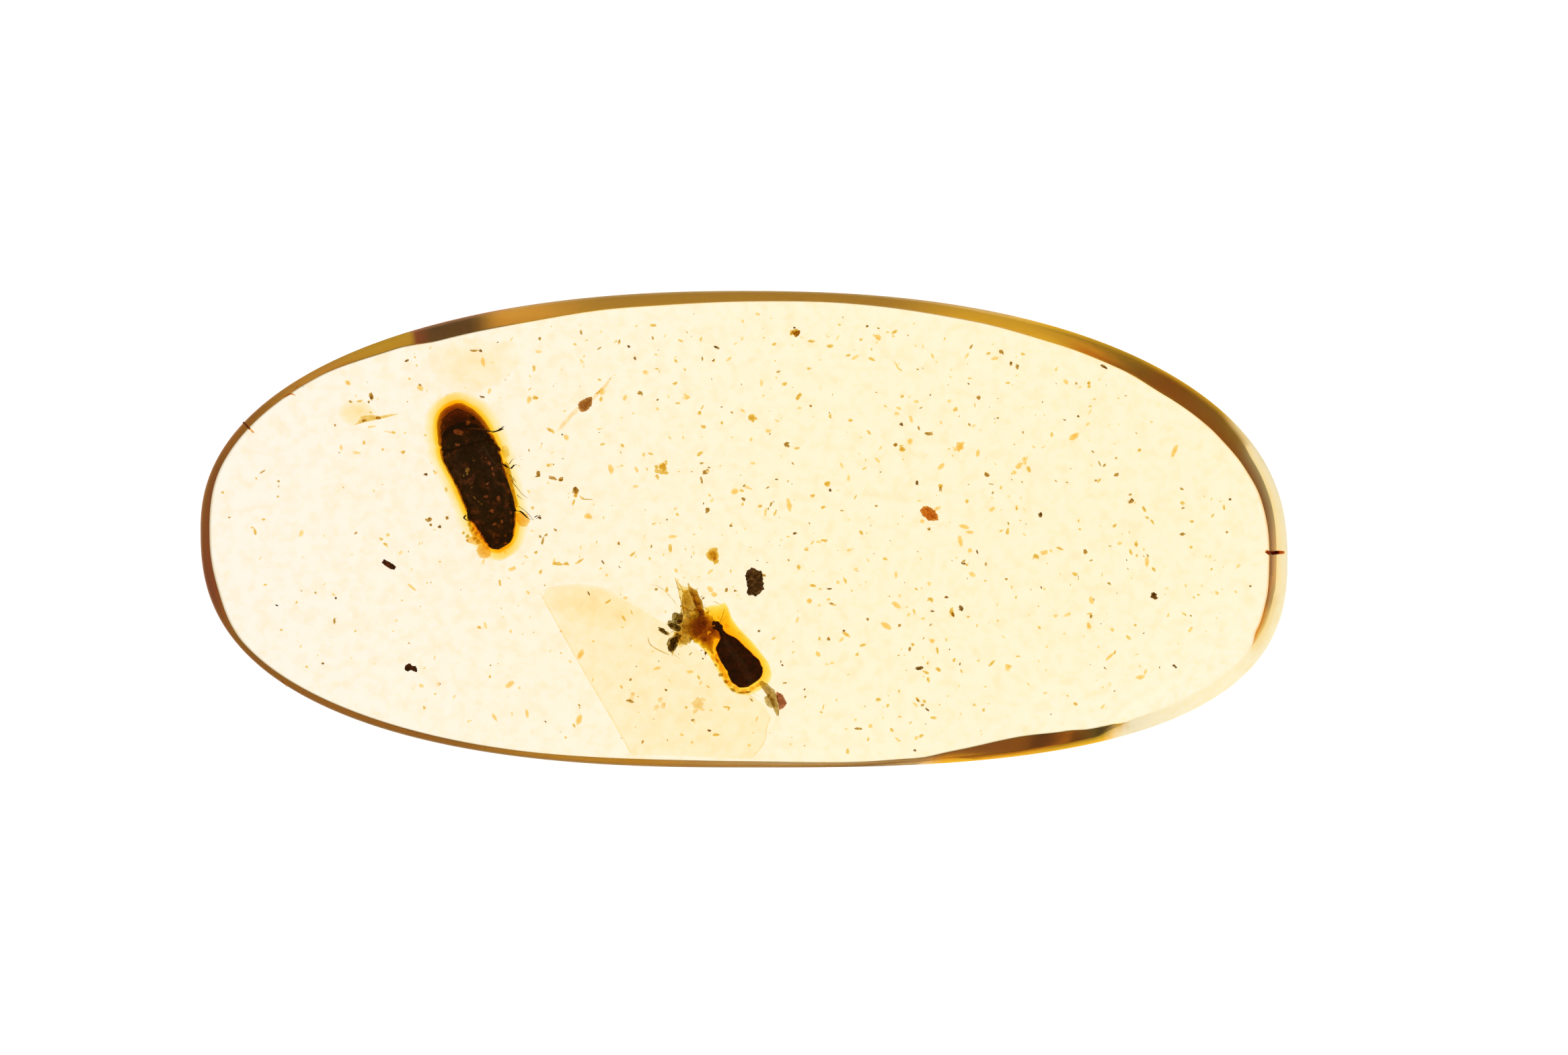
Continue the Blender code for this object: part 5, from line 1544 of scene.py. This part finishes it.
YELLOW_SPECKS = (
    (1427, 664, 14, 14, 30), (1421, 668, 8, 6, 0), (1515, 692, 14, 8, 45), (1523, 685, 6, 13, 15),
    (1508, 702, 9, 6, 20), (1442, 791, 14, 6, -5), (1442, 818, 7, 8, 0), (1553, 820, 13, 7, 20),
    (1371, 775, 8, 7, 0), (1021, 590, 8, 9, 0), (1119, 688, 9, 5, 0), (945, 722, 9, 5, 0),
    (761, 846, 11, 7, 20), (782, 827, 9, 4, -40), (1216, 972, 10, 7, -30), (1362, 597, 10, 5, 0),
    (1333, 614, 8, 6, 0), (1585, 912, 12, 5, 20), (1568, 915, 7, 5, 0), (1770, 936, 12, 6, 40),
    (1332, 855, 5, 12, 0), (1262, 817, 7, 5, 0), (1500, 994, 7, 5, 0), (1246, 867, 6, 6, 0),
    (1381, 867, 6, 7, 0), (1372, 919, 7, 5, 0), (1385, 957, 8, 8, 0), (819, 690, 7, 4, 0),
    (1142, 640, 9, 6, 0), (1155, 625, 8, 3, -30), (1393, 756, 12, 6, 20), (577, 642, 14, 3, -10),
    (530, 673, 12, 5, 0), (507, 665, 5, 10, 0), (552, 634, 16, 4, 10))
BEIGE_SPECKS = (
    (1038, 1046, 18, 20, 0), (1045, 1040, 9, 7, 0), (1034, 1057, 11, 7, 30), (981, 1040, 8, 8, 0),
    (986, 1048, 8, 11, 0), (976, 1051, 11, 8, 30), (940, 1033, 8, 9, 0), (938, 1038, 10, 6, 0),
    (1650, 1018, 5, 9, 0), (652, 1017, 5, 9, 0))


# %% [markdown]
# A real crumb is never one neat grain, so smaller lumps are stuck on the main one, more of them on
# a longer crumb. Its height in the stone can't be seen, and is picked from its place, so that the
# specks lie at all depths and the same ones do each time.

# %% Ragged crumbs
LOWEST_CRUMB = 1.30
CRUMB_LAYER = 0.85
CRUMB_LEVELS = 17
CRUMB_ROUGHNESS = 0.5
MOST_SMALL_LUMPS = 4


def add_crumb(bm, right, down, long, short, turn, seed):
    """Add one ragged speck of a length and width in pixels: a main lump with smaller ones on it."""
    level_of_it = (right * 7 + down * 13) % CRUMB_LEVELS
    middle = sealed_at_pixel(right, down, LOWEST_CRUMB + CRUMB_LAYER * level_of_it / CRUMB_LEVELS)
    half_long, half_short, _ = patch_sizes(long, short, 0.0)
    depth = 0.8 * min(half_long, half_short)
    add_lump(bm, middle, (half_long * 0.85, half_short * 0.85, depth), turn, CRUMB_ROUGHNESS, seed)
    pick = random.Random(right * 4099 + down)
    for _ in range(min(MOST_SMALL_LUMPS, int(max(long, short) / 3.0))):
        shift = Vector((pick.uniform(-0.9, 0.9) * half_long, pick.uniform(-0.9, 0.9) * half_short, 0.0))
        shift = Matrix.Rotation(math.radians(turn), 3, "Z") @ shift
        size = pick.uniform(0.25, 0.5) * min(half_long, half_short)
        add_lump(bm, middle + shift * MM, (size * 1.3, size, size), pick.uniform(0, 180),
                 CRUMB_ROUGHNESS, seed, 1)


SPECK_KINDS = (("dark_specks", DARK_SPECKS, dark_speck), ("brown_specks", BROWN_SPECKS, brown_speck),
               ("orange_specks", ORANGE_SPECKS, orange_speck),
               ("yellow_specks", YELLOW_SPECKS, yellow_speck),
               ("beige_specks", BEIGE_SPECKS, pale_speck))
for name, specks, material in SPECK_KINDS:
    bm = bmesh.new()
    for number, speck in enumerate(specks):
        add_crumb(bm, *speck, number)
    print(name, len(specks), "specks,", len(bm.faces), "faces")
    piece_from(name, seal(bm), material)

# %% [markdown]
# The finest dust is too much to place by hand and has no pattern, only a density. A generator with
# a fixed seed draws a place and keeps it if it falls inside the stone's outline and, towards the
# left, only some of the time. Small sizes are drawn far more often than large ones.

# %% Strewn specks
strewn = random.Random(11)
STREWN_RIGHT = (315, 1890)
STREWN_DOWN = (450, 1125)
THINNEST_SHARE = 0.25
FULL_SHARE_AFTER = 700.0
LEFT_EDGE = 300
OUTLINE_POWER = 2.4
OUTLINE_LIMIT = 0.80
STREWN_HEIGHTS = (0.8, 2.4)


def strewn_pixel():
    """A random pixel over the stone, more often in the middle and at the right."""
    while True:
        right = strewn.uniform(*STREWN_RIGHT)
        down = strewn.uniform(*STREWN_DOWN)
        share = min(1.0, max(THINNEST_SHARE, (right - LEFT_EDGE) / FULL_SHARE_AFTER))
        across = (right - STONE_MIDDLE_PIXEL[0]) / PIXELS_PER_MM / (HALF_LENGTH / MM)
        upward = (STONE_MIDDLE_PIXEL[1] - down) / PIXELS_PER_MM / (HALF_WIDTH / MM)
        drooped = upward + DROOP / HALF_WIDTH * max(across, 0.0) ** 2
        inside = abs(across) ** OUTLINE_POWER + abs(drooped) ** OUTLINE_POWER < OUTLINE_LIMIT
        if inside and strewn.random() < share:
            return right, down


STREWN_KINDS = (("strewn_dark", 60, 0.010, 0.026, dark_speck),
                ("strewn_brown", 150, 0.010, 0.032, brown_speck),
                ("strewn_orange", 330, 0.014, 0.045, orange_speck),
                ("strewn_yellow", 260, 0.020, 0.070, yellow_speck))
for name, count, least, most, material in STREWN_KINDS:
    bm = bmesh.new()
    for number in range(count):
        right, down = strewn_pixel()
        height = strewn.uniform(*STREWN_HEIGHTS)
        size = least + (most - least) * strewn.random() ** 2.2
        sizes = (size * strewn.uniform(1.0, 2.2), size * strewn.uniform(0.6, 1.0), size * 0.7)
        place = sealed_at_pixel(right, down, height)
        add_lump(bm, place, sizes, strewn.uniform(0, 180), 0.5, number, 1, strewn.uniform(-30, 30))
    print(name, count, "specks,", len(bm.faces), "faces")
    piece_from(name, seal(bm), material)

# %% [markdown]
# ## The light table
#
# A stone like this is looked at on a light table, which is why it glows: most of the light comes up
# through it, and only a little falls on it from above. Here the table is one large pale plane that
# gives off a soft even light of its own. No lamp is pointed at the stone, so its own thickness and
# tint, with the shade painted on its walls, do all the drawing. A ray that was mirrored on its way
# finds the table dark, or the polished walls would shine and hide their painted shade. The plane
# isn't part of the stone, so it is staged.

# %% Table
TABLE_HALF = 0.5
TABLE_DEPTH = 0.02 * MM
TABLE_GLOW = 1.05
MIRRORED_GLOW = 0.02
floor_bm = bmesh.new()
bmesh.ops.create_grid(floor_bm, x_segments=1, y_segments=1, size=TABLE_HALF,
                      matrix=Matrix.Translation((0.0, 0.0, -TABLE_DEPTH)))
floor_mesh = bpy.data.meshes.new("table")
floor_bm.to_mesh(floor_mesh)
floor_bm.free()
table = bpy.data.objects.new("table", floor_mesh)
bpy.context.scene.collection.objects.link(table)
table_material, tree, shader, output = new_material("lit_table")
shader.inputs["Base Color"].default_value = (0.35, 0.35, 0.35, 1.0)
shader.inputs["Roughness"].default_value = 1.0
shader.inputs["Specular IOR Level"].default_value = 0.0
shader.inputs["Emission Color"].default_value = (1.0, 1.0, 1.0, 1.0)
floor_mesh.materials.append(table_material)
light_path = tree.nodes.new("ShaderNodeLightPath")
mirrored = add_node(tree, "ShaderNodeMath", operation="SUBTRACT", use_clamp=True)
tree.links.new(light_path.outputs["Is Glossy Ray"], mirrored.inputs[0])
tree.links.new(light_path.outputs["Is Transmission Ray"], mirrored.inputs[1])
glow = add_node(tree, "ShaderNodeMath", operation="MULTIPLY_ADD")
glow.inputs[1].default_value = -TABLE_GLOW
glow.inputs[2].default_value = TABLE_GLOW + MIRRORED_GLOW
tree.links.new(mirrored.outputs[0], glow.inputs[0])
tree.links.new(glow.outputs[0], shader.inputs["Emission Strength"])
table_material.cycles.emission_sampling = "NONE"
print("table's half width, m:", TABLE_HALF)

# %% [markdown]
# The world behind the table is nearly white where the camera sees it. Everywhere else it is a dim
# warm light, as from a room with the lamps turned low, and it falls on the beetles from above.

# %% Surround
ROOM_LIGHT = (0.26, 0.12, 0.035, 1.0)
SEEN_BEHIND = (0.92, 0.92, 0.92, 1.0)
world = bpy.data.worlds.new("studio")
bpy.context.scene.world = world
world.use_nodes = True
background = world.node_tree.nodes["Background"]
world_path = world.node_tree.nodes.new("ShaderNodeLightPath")
surround = add_node(world.node_tree, "ShaderNodeMix", data_type="RGBA")
surround.inputs[6].default_value = ROOM_LIGHT
surround.inputs[7].default_value = SEEN_BEHIND
world.node_tree.links.new(world_path.outputs["Is Camera Ray"], surround.inputs[0])
world.node_tree.links.new(surround.outputs[2], background.inputs["Color"])
bpy.context.scene.view_settings.view_transform = "Standard"
print("room light:", ROOM_LIGHT[:3])
